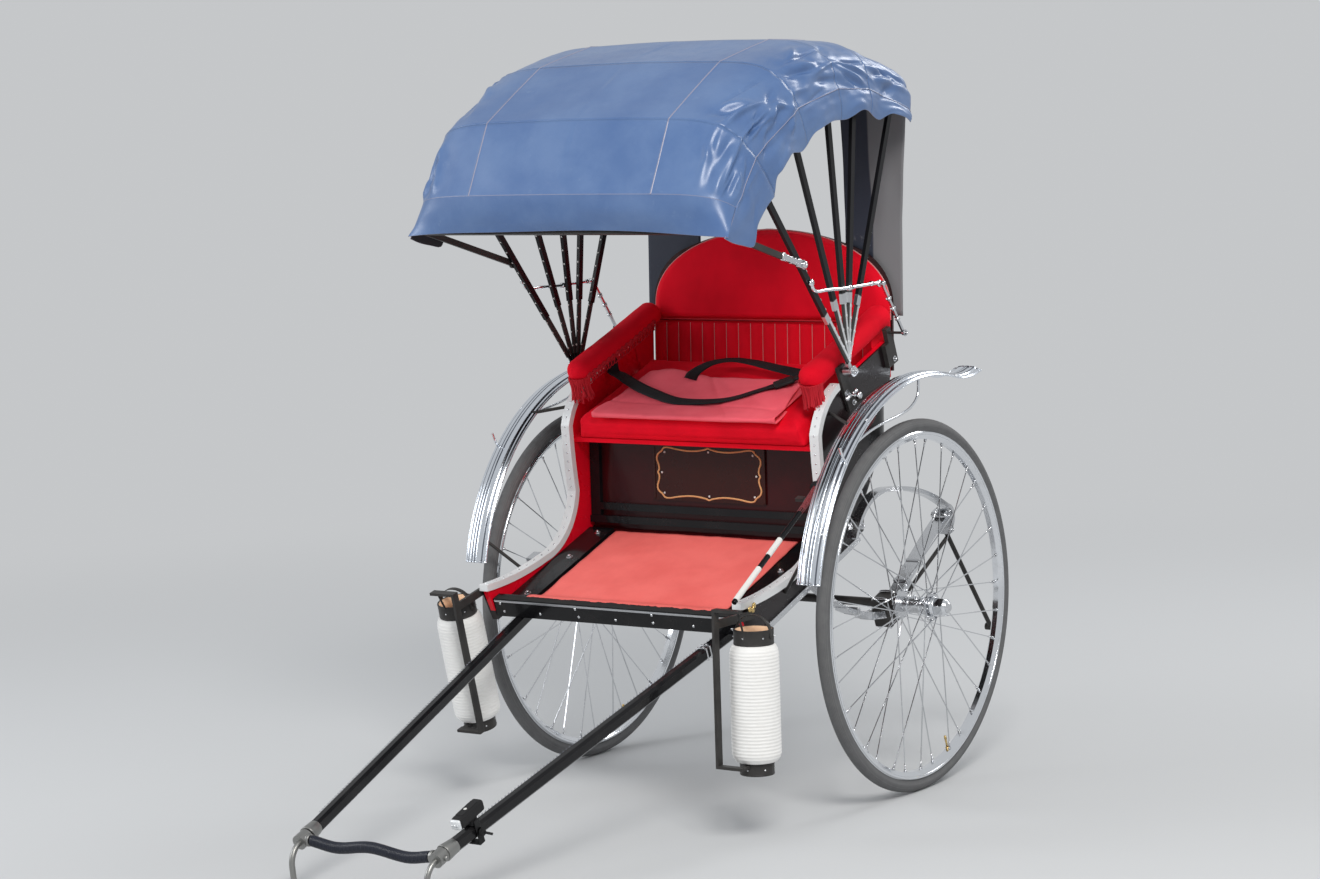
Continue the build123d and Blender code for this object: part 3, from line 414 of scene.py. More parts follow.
# Making pieces
def link(name, data):
    made = bpy.data.objects.new(name, data)
    bpy.context.scene.collection.objects.link(made)
    return made


def piece(name, bm, body, *looks, place=PARK, soft=True, slot=None):
    """Object from a bmesh drawn in the level frame, lowered into place. It can ride on a body."""
    bmesh.ops.transform(bm, matrix=place, verts=bm.verts)
    mesh = bpy.data.meshes.new(name)
    bm.to_mesh(mesh)
    bm.free()
    for look in looks:
        mesh.materials.append(M[look])
    for face in mesh.polygons:
        face.use_smooth = soft
    made = link(name, mesh)
    if body:
        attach(made, body)
    return made


def modifier(made, kind, **settings):
    added = made.modifiers.new(kind.title(), kind)
    for key, value in settings.items():
        setattr(added, key, value)


def thicken(made, thickness, offset=0, **more):
    modifier(made, "SOLIDIFY", thickness=thickness, offset=offset, **more)


def soften_edges(made, width, segments):
    modifier(made, "BEVEL", width=width, segments=segments, limit_method="ANGLE")


def subdivide(made):
    modifier(made, "SUBSURF", levels=1, render_levels=1)


def wire(name, runs, radius, body, look, closed=False, bevel=3, order=3):
    """Round wires along smooth splines, each run a list of level points."""
    curve = bpy.data.curves.new(name, "CURVE")
    curve.dimensions = "3D"
    curve.bevel_depth = radius / 1000
    curve.bevel_resolution = bevel
    curve.resolution_u = 4
    curve.use_fill_caps = True
    for run in runs:
        spline = curve.splines.new("NURBS")
        spline.points.add(len(run) - 1)
        for point, at in zip(spline.points, run):
            point.co = (*(PARK @ Vector(at)), 1)
        spline.order_u = order
        spline.use_endpoint_u = not closed
        spline.use_cyclic_u = closed
    curve.materials.append(M[look])
    made = link(name, curve)
    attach(made, body)
    return made


def grid(columns, rows, mapping):
    """Sheet of vertices placed by mapping(column share, row share)."""
    bm = bmesh.new()
    bmesh.ops.create_grid(bm, x_segments=columns, y_segments=rows, size=1)
    for vert in bm.verts:
        vert.co = mapping((vert.co.x + 1) / 2, (vert.co.y + 1) / 2)
    return bm


def area_of(bm):
    """Area in square metres of a mesh drawn in millimetres."""
    return sum(f.calc_area() for f in bm.faces) / 1e6


def face_out(bm):
    bmesh.ops.recalc_face_normals(bm, faces=bm.faces)


def close_ends(bm, merge):
    """Joins the seam of a rolled-up sheet and caps its open ends."""
    bmesh.ops.remove_doubles(bm, verts=bm.verts, dist=merge)
    bmesh.ops.holes_fill(bm, edges=[e for e in bm.edges if e.is_boundary])
    face_out(bm)


def box(bm, low, high):
    middle = [(a + b) / 2 for a, b in zip(low, high)]
    size = [b - a for a, b in zip(low, high)]
    place = Matrix.Translation(middle) @ Matrix.Diagonal((*size, 1))
    return bmesh.ops.create_cube(bm, size=1, matrix=place)["verts"]


def bevel(bm, edges, offset, segments):
    bmesh.ops.bevel(bm, geom=edges, offset=offset, segments=segments, profile=0.5, affect="EDGES",
                    material=-1)


def round_edges(bm, verts, offset, segments):
    bevel(bm, list(dict.fromkeys(e for v in verts for e in v.link_edges)), offset, segments)


def facing(at, axis):
    """Place at a point, with local Z along an axis."""
    return Matrix.Translation(at) @ Vector(axis).to_track_quat("Z", "Y").to_matrix().to_4x4()


def drum(bm, at, axis, radius, depth, segments=24, end_radius=None):
    """Cylinder or cone centred at a point, along an axis."""
    bmesh.ops.create_cone(bm, cap_ends=True, segments=segments, radius1=radius,
                          radius2=radius if end_radius is None else end_radius, depth=depth,
                          matrix=facing(at, axis))


def dome(bm, at, axis, radius, height):
    """Low rivet head."""
    squat = Matrix.Diagonal((1, 1, height / radius, 1))
    bmesh.ops.create_uvsphere(bm, u_segments=10, v_segments=6, radius=radius, matrix=facing(at, axis) @ squat)


def ring_of(bm, profile, centre, axis, steps):
    """Spins a closed or open profile of points about an axis."""
    verts = [bm.verts.new(p) for p in profile]
    edges = [bm.edges.new(pair) for pair in zip(verts, verts[1:])]
    bmesh.ops.spin(bm, geom=verts + edges, cent=centre, axis=axis, angle=math.tau, steps=steps,
                   use_merge=True)
    bmesh.ops.remove_doubles(bm, verts=bm.verts, dist=0.01)
    face_out(bm)


def oval(x, z, wide, tall):
    """Closed profile of eight points about a place in the XZ plane."""
    return [(x + wide * math.cos(a), 0, z + tall * math.sin(a)) for a in (math.tau * k / 8 for k in range(9))]


def radial(degree):
    return Vector((0, math.sin(math.radians(degree)), math.cos(math.radians(degree))))


def about_pivot(x, degree, radius):
    return Vector((x, *PIVOT)) + radial(degree) * radius


def spline_through(points, t):
    """Smooth curve through a list of points at t from 0 to 1."""
    count = len(points) - 1
    step = min(int(t * count), count - 1)
    f = t * count - step
    a, b = points[step], points[step + 1]
    before = points[step - 1] if step else [2 * p - q for p, q in zip(a, b)]
    after = points[step + 2] if step + 2 <= count else [2 * q - p for p, q in zip(a, b)]
    out = []
    for p0, p1, p2, p3 in zip(before, a, b, after):
        bend = 2 * p0 - 5 * p1 + 4 * p2 - p3 + f * (3 * (p1 - p2) + p3 - p0)
        out.append(p1 + 0.5 * f * (p2 - p0 + f * bend))
    return out


# Hood cloth
JOINT = about_pivot(0, BOWS[0], JOINT_R)
# half section from the crown's middle to the side seam: x, drop below the crown
HALF_SECTION = ((0, 0), (110, 1), (215, 3), (310, 6), (392, 13), (452, 29), (494, 58), (519, 99), (532, 153))
# side hem: angle from upright, radius about the pivot
SEAM_X, SEAM_DROP = HALF_SECTION[-1]
HEM = ((-37.5, 700), (-29.8, 722), (-21.1, 696), (-17.2, 733), (-11.3, 740), (-4.5, 707), (1.9, 734),
       (8, 736), (14.7, 728), (21.3, 751), (29.6, 730), (35.1, 762), (40.8, 768), (46, 786))
SEAM_AT = 0.78
LONG_SEAM_X = 310
REAR_END = 42.6
NEST = 7
TAUTNESS = 0.85


def hem_radius(degree):
    degree = min(max(degree, HEM[0][0]), HEM[-1][0])
    for (a, ra), (b, rb) in zip(HEM, HEM[1:]):
        if degree <= b:
            return lerp(ra, rb, smooth((degree - a) / (b - a)))
    return HEM[-1][1]


def across(s):
    """x and drop of the section at s from 0 at the crown to 1 at the side seam."""
    return spline_through(HALF_SECTION, s)


def crown_step(degree):
    """Drop of the crown from the first bow to the one at an angle."""
    for index, (a, b) in enumerate(zip(BOWS, BOWS[1:])):
        if degree <= b:
            return NEST * (index + max(0.0, (degree - a) / (b - a)))
    return NEST * (len(BOWS) - 1)


def flap_x(f):
    """Distance out of the cloth below the side seam, at f of 1 at the hem."""
    return SEAM_X + 9 * math.sin(f * 2.2)


def hood_point(side, s, degree):
    """Cloth between the bows. s is 0 at the crown, SEAM_AT at the side seam and 1 at the hem."""
    low, high = next(((a, b) for a, b in zip(BOWS, BOWS[1:]) if degree <= b), (BOWS[-1], REAR_END))
    middle, half = (low + high) / 2, (high - low) / 2
    chord = math.cos(math.radians(half)) / math.cos(math.radians(degree - middle))
    pull, step = lerp(1, chord, TAUTNESS), crown_step(degree)
    if s <= SEAM_AT:
        x, drop = across(s / SEAM_AT)
        radius = (HOOD_R - step - drop) * pull
    else:
        f = (s - SEAM_AT) / (1 - SEAM_AT)
        radius = lerp((SEAM_R - step) * pull, hem_radius(degree), f)
        x = flap_x(f) + 7 * f * math.sin(math.radians(degree * 21))
    if degree > BOWS[-1]:
        over = (degree - BOWS[-1]) / (REAR_END - BOWS[-1])
        radius -= 6 * over * over
    return about_pivot(side * x, degree, radius)


# lower edge of the side flap from the front corner back to the first bow: y, z
FLAP_HEM = ((-464, 1367), (-428, 1339), (-382, 1311), (-342, 1290), (-318, 1306), (-296, 1336), (-250, 1358),
            (-212, 1370), (-174, 1377))


def front_point(side, s, f):
    """Cloth from the front seam, at f of 0, back to the first bow, at 1."""
    plane = radial(FRONT_SEAM_DEG)
    x, drop = across(min(1.0, s / SEAM_AT))
    radius = FRONT_CROWN_R - drop * (FRONT_CROWN_R - FRONT_SEAM_R) / SEAM_DROP
    start = Vector((side * x, JOINT.y, JOINT.z)) + plane * radius
    point = start.lerp(hood_point(side, min(s, SEAM_AT), BOWS[0]), f)
    if s > SEAM_AT:
        g = (s - SEAM_AT) / (1 - SEAM_AT)
        point.x = side * flap_x(g)
        point.y, point.z = (lerp(a, b, g) for a, b in zip(point.yz, spline_through(FLAP_HEM, min(f, 0.9999))))
    return point


def columns_for(segments):
    """Column places from hem to hem, with five close together on each seam, and the seams' places."""
    long_seam = next(s / 400 for s in range(400) if across(s / 400)[0] > LONG_SEAM_X) * SEAM_AT
    seams = (SEAM_AT, long_seam)
    places = {round(i / segments, 5) for i in range(segments + 1)}
    for seam in seams:
        places = {p for p in places if abs(p - seam) > 0.007}
        places |= {seam + off for off in (-0.0030, -0.0012, 0, 0.0012, 0.0030)}
    half = sorted(places | {0.9970})
    return [-p for p in reversed(half) if p > 0] + half, seams


FOLDS = random.Random(11)
# across the shoulder, place along the hood in degrees, lean, length, width, height in millimetres
SHOULDER_FOLDS = [(FOLDS.uniform(0.46, 0.80), FOLDS.uniform(-30, 40), FOLDS.uniform(-1.2, 1.2),
                   FOLDS.uniform(60, 170), FOLDS.uniform(9, 22), FOLDS.choice((-1, 1)) * FOLDS.uniform(6, 16))
                  for _ in range(110)]
MM_PER_DEGREE, MM_PER_GIRTH = 15.0, 1000
FRONT_FOLDS_DEG = -34


def drape(side, s, degree):
    """Height of the folds at a place, in millimetres."""
    along, girth = degree * MM_PER_DEGREE, s * MM_PER_GIRTH
    height = 0.0
    for index, (fold_s, fold_degree, lean, length, width, tall) in enumerate(SHOULDER_FOLDS):
        if (index % 2 == 0) != (side > 0):
            continue
        da, ds = along - fold_degree * MM_PER_DEGREE, girth - fold_s * MM_PER_GIRTH
        u = da * math.cos(lean) + ds * math.sin(lean)
        v = -da * math.sin(lean) + ds * math.cos(lean)
        if abs(u) < length and abs(v) < 2.6 * width:
            height += tall * (1 - (u / length) ** 2) ** 2 * math.exp(-(v / width) ** 2)
    shoulder = smooth((s - 0.38) / 0.14) * (1 - 0.45 * smooth((s - 0.8) / 0.2))
    if degree < BOWS[0]:
        f = (degree - FRONT_FOLDS_DEG) / (BOWS[0] - FRONT_FOLDS_DEG)
        u = (s - 0.63) / lerp(0.26, 0.13, f)
        fan = 8 * math.cos(9.5 * u + 1.3 * math.sin(3 * f + side)) * math.exp(-2 * u * u)
        height = 0.5 * height + fan * smooth(2.5 * (1.12 - f))
    slow = ripple(side * 3.1 + s * 5, degree * 0.09, 0.3)
    fine = ripple(side * 7.7 + s * 17, degree * 0.3, 4.1)
    return height * shoulder + shoulder * (9 * slow + 3.5 * fine) + (1 - shoulder) * (3.2 * slow + 0.7 * fine)


# stretches of the cloth from the front seam to the rear edge, and the rows in each
HOOD_ROWS = (("front", 28), (0, 34), (1, 30), (2, 24), (3, 30), ("rear", 6))


def hood():
    """The whole cloth as one sheet, displaced along its smoothed normals."""
    columns, seams = columns_for(140)
    rows = []
    for kind, count in HOOD_ROWS:
        for step in range(count + (kind == "rear")):
            rows.append((kind, (step / count) ** 1.4 if kind == "front" else step / count))
    bm = bmesh.new()
    bmesh.ops.create_grid(bm, x_segments=len(columns) - 1, y_segments=len(rows) - 1, size=1)
    seam_layer = bm.verts.layers.float.new("seam")
    row_layer = bm.verts.layers.int.new("row")
    heights = {}
    for vert in bm.verts:
        column = round((vert.co.x + 1) / 2 * (len(columns) - 1))
        row = round((vert.co.y + 1) / 2 * (len(rows) - 1))
        side, s = (1 if columns[column] >= 0 else -1), abs(columns[column])
        kind, f = rows[row]
        if kind == "front":
            degree, held = lerp(FRONT_FOLDS_DEG, BOWS[0], f), smooth(f * 5)
            vert.co = front_point(side, s, f)
        else:
            low, high = (BOWS[-1], REAR_END) if kind == "rear" else BOWS[kind:kind + 2]
            degree, held = lerp(low, high, f), 1
            vert.co = hood_point(side, s, degree)
        taut = 0.45 + 0.55 * smooth(min(abs(degree - bow) for bow in BOWS) / 5)
        seam_gap = min(abs(s - seam) for seam in seams)
        ridge = max(0, 1 - seam_gap / 0.002)
        clear = 0.35 + 0.65 * smooth(seam_gap / 0.05)
        heights[vert] = drape(side, s, degree) * taut * held * clear + 2.0 * ridge
        pale = ridge > 0.3 or s > 0.998 or row in (0, len(rows) - 1)
        vert[seam_layer] = 1.0 if pale else 0.0
        vert[row_layer] = row
    face_out(bm)
    bm.normal_update()
    up = sum((vert.normal.z for vert in bm.verts)) > 0
    ways = {vert: vert.normal.copy() for vert in bm.verts}
    for _ in range(7):
        ways = {vert: sum((ways[e.other_vert(vert)] for e in vert.link_edges), ways[vert].copy()).normalized()
                for vert in bm.verts}
    for vert in bm.verts:
        vert.co += ways[vert] * heights[vert] * (1 if up else -1)
    if not up:
        bmesh.ops.reverse_faces(bm, faces=bm.faces)
    return bm


def cut_rows(bm, first, last):
    """Copy of the sheet that keeps the faces between two rows."""
    part = bm.copy()
    layer = part.verts.layers.int["row"]
    lose = [f for f in part.faces if not all(first <= v[layer] <= last for v in f.verts)]
    bmesh.ops.delete(part, geom=lose, context="FACES")
    return part


def cloth_size(part):
    """Longest girth from hem to hem, run along the crown and area of a panel, in metres."""
    layer = part.verts.layers.int["row"]
    girths, run = {}, 0.0
    for edge in part.edges:
        first, last = edge.verts
        if first[layer] == last[layer]:
            girths[first[layer]] = girths.get(first[layer], 0.0) + edge.calc_length()
        elif abs(first.co.x) < 4 and abs(last.co.x) < 4:
            run += edge.calc_length()
    return max(girths.values()) / 1000, run / 1000, sum(f.calc_area() for f in part.faces) / 1e6


def blend_between(cloth, start, end, margin):
    """Bakes the cloth's placement into its mesh. The points at margin and 1 - margin of the way from start to
    end are worked out, but nothing uses them.
    """
    parked(*start.lerp(end, margin))
    parked(*start.lerp(end, 1 - margin))
    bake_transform(cloth)


def hood_panels():
    """Cuts the sheet into a panel for each pair of bows."""
    bm = hood()
    row = 0
    for kind, count in HOOD_ROWS[:-1]:
        first, row = row, row + count
        last = row + HOOD_ROWS[-1][1] if kind == 3 else row
        part = cut_rows(bm, first, last)
        width, run, area = cloth_size(part)
        name = "hood_front" if kind == "front" else f"hood_panel_{kind + 1}"
        cloth = piece(name, part, None, "hood", "lining")
        thicken(cloth, 0.0018, -1, material_offset=1, material_offset_rim=0)
        if kind == "front":
            crown = JOINT + radial(FRONT_SEAM_DEG) * FRONT_CROWN_R
            blend_between(cloth, crown, about_pivot(0, BOWS[0], HOOD_R), 0.2)
            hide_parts("front_cover")
        else:
            start, end = (about_pivot(0, degree, HOOD_R) for degree in BOWS[kind:kind + 2])
            blend_between(cloth, start, end, 0.18)
            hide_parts(f"cover_{kind + 1}")
    bm.free()


VALANCE_HALF, VALANCE_Y, VALANCE_Z = 548, -449, 1385


def front_valance():
    """Strip that hangs from the front seam to the hood's lower front edge."""
    columns, rows = 96, 18

    def mapping(u, v):
        signed = 2 * u - 1
        top = front_point(1 if signed >= 0 else -1, abs(signed) * SEAM_AT, 0)
        x = top.x * 1.03
        share = (x / VALANCE_HALF) ** 2
        wave = 3.0 * math.sin(x / 95) * (0.4 + share)
        low = Vector((x, VALANCE_Y - 10 * share, VALANCE_Z - 14 * share + wave))
        v = smooth(v)
        point = top.lerp(low, v)
        bulge = math.sin(math.pi * v)
        point.y -= 7 * bulge * (1 - share) + 4 * ripple(x / 130, v * 1.5, 2.2) * bulge
        point.z += bulge * share
        return point
    bm = grid(columns, rows, mapping)
    seam_layer = bm.verts.layers.float.new("seam")
    verts = sorted(bm.verts, key=lambda v: v.index)
    for vert in verts:
        vert[seam_layer] = 0.0
    for rim, pale in ((verts[-columns - 1:], 1.0), (verts[:columns + 1], 0.5)):
        for vert in rim:
            vert[seam_layer] = pale
    face_out(bm)
    bm.normal_update()
    if sum(v.normal.y for v in bm.verts) > 0:
        bmesh.ops.reverse_faces(bm, faces=bm.faces)
    area, width = area_of(bm), 1.3
    cloth = piece("hood_valance", bm, "front_bow", "hood", "lining")
    thicken(cloth, 0.0022, -1, material_offset=1, material_offset_rim=0)
    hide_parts("front_valance")
    area / width * 1.1


hood_panels()
front_valance()


# Rear curtains
def back_point(x, up, off):
    """Point on the backrest: up its slope and off behind its front."""
    return Vector((x, BACK_FOOT[0] + up * math.sin(RECLINE) + off * math.cos(RECLINE),
                   BACK_FOOT[1] + up * math.cos(RECLINE) - off * math.sin(RECLINE)))


CURTAIN_OFF, CURTAIN_LOW, CURTAIN_SPLIT, CURTAIN_RUN = 41, 188, 476, 790
CURTAIN_IN, CURTAIN_OUT, CURTAIN_TOP_OUT, CURTAIN_TOP_R = 262, 458, 503, 934


def curtain(side):
    """Curtain that lies along the backrest's shell and hangs free from there up to the last bow."""
    top = about_pivot(0, BOWS[-1], CURTAIN_TOP_R) + Vector((0, 9, -8))
    share = (CURTAIN_SPLIT - CURTAIN_LOW) / CURTAIN_RUN

    def mapping(u, v):
        x = lerp(CURTAIN_IN, CURTAIN_OUT, u)
        low, knee = (back_point(x, up, CURTAIN_OFF) for up in (CURTAIN_LOW, CURTAIN_SPLIT))
        high = Vector((lerp(CURTAIN_IN, CURTAIN_TOP_OUT, u), top.y, top.z))
        dip = max(0.0, (high.x - 390) / 134)
        high = high.lerp(knee, 0.30 * dip * dip)
        point = low.lerp(knee, v / share) if v < share else knee.lerp(high, (v - share) / (1 - share))
        fold = 5 * math.sin(u * 9 + 1.5 * v) * math.sin(math.pi * v) + 3 * ripple(u * 3, v * 4, side)
        point.y += fold * smooth((v - share) / 0.25)
        return mirrored(side, point)
    bm = grid(22, 44, mapping)
    face_out(bm)
    area, width = area_of(bm), 0.2
    cloth = piece(f"curtain_{hand(side)}", bm, None, "curtain")
    thicken(cloth, 0.002)
    area / width * 1.05
    low, high = (parked(*back_point(0, CURTAIN_SPLIT + up, CURTAIN_OFF)) for up in (-30, 60))
    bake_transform(cloth)
    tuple(low)
    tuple(high)
    if side > 0:
        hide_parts("rear_curtain", "rear_curtain_low")


for side in SIDES:
    curtain(side)


# Padding
def inflate(made, pressure, cap, pins, frames=20):
    """Swells a closed mesh as stuffing would, no further than cap at any point. Pins hold points still."""
    rest = [v.co.copy() for v in made.data.vertices]
    cloth = made.modifiers.new("Fill", "CLOTH")
    group = made.vertex_groups.new(name="held")
    group.add(pins, 1.0, "REPLACE")
    settings = {"use_pressure": True, "uniform_pressure_force": pressure, "tension_stiffness": 30,
                "compression_stiffness": 30, "bending_stiffness": 2, "quality": 5,
                "vertex_group_mass": "held"}
    for key, value in settings.items():
        setattr(cloth.settings, key, value)
    cloth.settings.effector_weights.gravity = 0
    cloth.point_cache.frame_start, cloth.point_cache.frame_end = 1, frames
    for number in range(1, frames + 1):
        bpy.context.scene.frame_set(number)
    solved = made.evaluated_get(bpy.context.evaluated_depsgraph_get())
    moved = solved.to_mesh()
    for vert, was, now in zip(made.data.vertices, rest, moved.vertices):
        step = now.co - was
        vert.co = was + (step if step.length < cap else step.normalized() * cap)
    solved.to_mesh_clear()
    made.modifiers.remove(cloth)
    bpy.context.scene.frame_set(1)


CUSHION_LOW, CUSHION_HIGH = (-400, -120, 562), (400, 328, 627)
# along each axis: from, to and into how many parts the cushion is cut
CUSHION_CUTS = ((-400, 400, 46), (-100, 328, 25), (561, 626, 5))


def seat_cushion():
    """Boxed cushion with a rolled front, swollen by its filling."""
    bm = bmesh.new()
    box(bm, CUSHION_LOW, CUSHION_HIGH)
    front = [e for e in bm.edges if all(v.co.y < 0 for v in e.verts)]
    bevel(bm, front, 24, 5)
    for axis, (low, high, parts) in enumerate(CUSHION_CUTS):
        normal = Vector((axis == 0, axis == 1, axis == 2))
        for k in range(1, parts):
            whole = bm.verts[:] + bm.edges[:] + bm.faces[:]
            at = normal * (low + (high - low) * k / parts)
            bmesh.ops.bisect_plane(bm, geom=whole, plane_co=at, plane_no=normal)
    made = piece("seat_pad", bm, BODY, "velvet")
    level = PARK.inverted()
    floor = [v.index for v in made.data.vertices if (level @ v.co).z < CUSHION_LOW[2] + 2]
    inflate(made, 5.0, 0.011, floor)
    subdivide(made)
    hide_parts("seat_cushion")


BACK_HALF, BACK_HIGH, ARCH_FROM = 423, 446, 215
PAD_LOW, PLEATS_HIGH = 170, 166


def arch_half(y):
    """Half-width of the backrest at a height up its slope."""
    if y <= ARCH_FROM:
        return BACK_HALF
    f = (y - ARCH_FROM) / (BACK_HIGH - ARCH_FROM)
    return BACK_HALF * math.sqrt(max(0.0, 1 - f ** 2.15))


def backrest():
    """Upper pad with a flat-arched top, closed round its edge."""
    def mapping(front):
        def at(u, v):
            up = lerp(PAD_LOW + 1, BACK_HIGH, v)
            half = max(arch_half(up), 1)
            x = lerp(-half, half, u)
            middling = abs(2 * u - 1)
            top_gap = BACK_HIGH - up + 26 * middling ** 2
            edge = min((1 - middling) * half / 30, (up - PAD_LOW) / 14, top_gap / 20, 1)
            puff = math.sin(min(max(edge, 0), 1) * math.pi / 2)
            centre = math.exp(-(x / 70) ** 2) * 4 * smooth((up - PAD_LOW) / 60)
            off = 25 - 22 * puff - 7 * math.cos(x / half * 1.4) * puff + centre
            return back_point(x, up, off if front else 26)
        return at
    pad, back = (grid(64, 34, mapping(front)) for front in (True, False))
    mesh = bpy.data.meshes.new("join")
    back.to_mesh(mesh)
    pad.from_mesh(mesh)
    bpy.data.meshes.remove(mesh)
    back.free()
    bmesh.ops.remove_doubles(pad, verts=pad.verts, dist=0.8)
    bmesh.ops.bridge_loops(pad, edges=[e for e in pad.edges if e.is_boundary])
    face_out(pad)
    made = piece("back_pad", pad, BODY, "velvet")
    subdivide(made)
    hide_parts("backrest_pad")


PLEATS, PLEATS_HALF = 19, 421


def pleats():
    """Row of upright sewn channels across the backrest's lower half."""
    def at(u, v):
        lane = (u * PLEATS) % 1
        swell = math.sin(math.pi * lane) ** 0.55 if 0 < lane < 1 else 0
        ends = smooth(v / 0.07) * smooth((1 - v) / 0.07)
        return back_point(lerp(-PLEATS_HALF, PLEATS_HALF, u), lerp(2, PLEATS_HIGH, v), 17 - 8 * swell * ends)
    made = piece("back_pleats", grid(PLEATS * 8, 16, at), BODY, "pleats")
    thicken(made, 0.006, -1 if made.data.polygons[0].normal.y < 0 else 1)
    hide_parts("backrest_pleats")
    seams = [[back_point(lerp(-PLEATS_HALF, PLEATS_HALF, k / PLEATS), up, 15.6) for up in (8, 60, 110, 160)]
             for k in range(1, PLEATS)]
    wire("pleat_stitch", seams, 1.1, BODY, "piping", order=2, bevel=1)


seat_cushion()
backrest()
pleats()

# Hardware
def rivets(name, spots, radius, height, body, look="rivet", place=PARK):
    """Low domed heads, each given by a point and the way it faces."""
    bm = bmesh.new()
    for at, way in spots:
        dome(bm, at, way, radius, height)
    piece(name, bm, body, look, place=place)


def bolts(name, spots, body):
    """Hexagon heads on washers, each given by a point, the way it faces and its radius."""
    bm = bmesh.new()
    for at, way, radius in spots:
        at, way = Vector(at), Vector(way).normalized()
        drum(bm, at + way * 0.12 * radius, way, 1.5 * radius, 0.24 * radius, 20)
        drum(bm, at + way * 0.62 * radius, way, radius, 0.8 * radius, 6, 0.92 * radius)
        drum(bm, at + way * 1.15 * radius, way, 0.5 * radius, 0.4 * radius, 12, 0.42 * radius)
    soften_edges(piece(name, bm, body, "bright", soft=False), 0.0006, 2)


def collar(bm, at, along, level, width, height, depth, edge=2):
    """Rectangular band round a bar, with rounded edges."""
    along, level = Vector(along).normalized(), Vector(level).normalized()
    turn = Matrix((level, along.cross(level), along)).transposed().to_4x4()
    place = Matrix.Translation(at) @ turn @ Matrix.Diagonal((width, height, depth, 1))
    round_edges(bm, bmesh.ops.create_cube(bm, size=1, matrix=place)["verts"], edge, 2)


def arc_at(table, t):
    """Point (y, z) and forward normal at a share of a chain of arcs, each given by three points."""
    index = min(int(t * len(table)), len(table) - 1)
    a, b, c = (complex(*p) for p in table[index])
    w = (c - a) / (b - a)
    centre = (b - a) * (w - abs(w) ** 2) / (2j * w.imag) + a
    start, middle, end = (math.atan2((p - centre).imag, (p - centre).real) for p in (a, b, c))
    sweep = (end - start) % math.tau
    if (middle - start) % math.tau > sweep:
        sweep -= math.tau
    angle = start + sweep * (t * len(table) - index)
    out = complex(math.cos(angle), math.sin(angle))
    point = centre + abs(a - centre) * out
    forward = out * (1 if sweep > 0 else -1)
    return (point.real, point.imag), (forward.real, forward.imag)


# Wheels
SPOKES = 36
RIM_INNER_R, TREAD_STEPS = 490, 96
HUB_HALF, FLANGE_INSET, FLANGE_R, BARREL_R = 58, 7, 44, 24
SPOKE_CROSS_DEG, SPOKE_OFF = 52, 4.7
# place along the axle, or up from the rim, and radius, depth, segments and end radius
HUB_STEPS = ((63, 31, 10, 40, 28), (83, 29, 30, 6, 28), (101, 24, 8, 40, 20), (-55, 33, 8, 40, 30))
VALVE_STEPS = ((4, 6, 5, 6, 6), (22, 3.2, 36, 12, 3.2), (40, 4.4, 10, 12, 3.6))
# place across the tyre and radius
TREAD_RIBS = ((-11, 546), (-5.5, 549), (0, 550), (5.5, 549), (11, 546))
RIB_SECTION = ((-1.6, 2.4), (-1.0, 0), (1.0, 0), (1.6, 2.4))


def spoke_ends(index):
    """Ends of a spoke from flange to rim, about the wheel's centre."""
    side = 1 if index % 2 else -1
    way = 1 if index // 2 % 2 else -1
    lean = SPOKE_OFF * way
    at_rim = math.tau * index / SPOKES
    at_hub = at_rim + math.radians(SPOKE_CROSS_DEG * way)
    ends = []
    for x, radius, angle in ((HUB_HALF - FLANGE_INSET + lean, FLANGE_R - 4, at_hub),
                             (4 + lean / 2, RIM_INNER_R, at_rim)):
        ends.append(Vector((side * x, radius * math.cos(angle), radius * math.sin(angle))))
    return ends


def wheel_fittings(side):
    """Nipples and heads of the spokes, hub caps, valve, tread ribs and rim beads of a wheel."""
    name, body = hand(side), f"wheel_{hand(side)}"
    centre = Vector((side * TRACK / 2, 0, 0))

    def out(x, y=0, z=0):
        return centre + Vector((side * x, y, z))

    def spin(bm, profile):
        ring_of(bm, profile, (centre.x, 0, 0), (1, 0, 0), TREAD_STEPS)

    nipples, heads = bmesh.new(), bmesh.new()
    for index in range(SPOKES):
        start, end = spoke_ends(index)
        run = (start - end).normalized()
        way = mirrored(side, run)
        drum(nipples, out(*(end + run * 3)), way, 4.6, 6, 8)
        drum(nipples, out(*(end + run * 14)), way, 3.0, 20, 8, 2.2)
        outward = math.copysign(1, start.x)
        dome(heads, out(start.x + 2.4 * outward, *start.yz), (side * outward, 0, 0), 3.4, 2)
    piece(f"spoke_nipples_{name}", nipples, body, "bright")
    piece(f"spoke_heads_{name}", heads, body, "bright")
    cap = bmesh.new()
    for x, *sizes in HUB_STEPS:
        drum(cap, out(x), (side, 0, 0), *sizes)
    for x in (-22, 22):
        drum(cap, out(x), (1, 0, 0), BARREL_R + 3, 7, 40)
    drum(cap, out(0, 0, BARREL_R + 4), UPRIGHT, 5, 12, 16, 4)
    soften_edges(piece(f"hub_cap_{name}", cap, body, "chrome", soft=False), 0.0014, 3)
    valve = bmesh.new()
    for up, *sizes in VALVE_STEPS:
        drum(valve, out(0, 0, up - RIM_INNER_R), UPRIGHT, *sizes)
    piece(f"tyre_valve_{name}", valve, body, "brass")
    ribs, bead = bmesh.new(), bmesh.new()
    for off, radius in TREAD_RIBS:
        x = centre.x + off
        spin(ribs, [(x + dx, 0, radius - drop) for dx, drop in RIB_SECTION])
    for off in (-17, 17):
        spin(bead, oval(centre.x + off, 508, 1.7, 4.4))
    piece(f"tyre_tread_{name}", ribs, body, "tyre")
    piece(f"rim_bead_{name}", bead, body, "chrome")


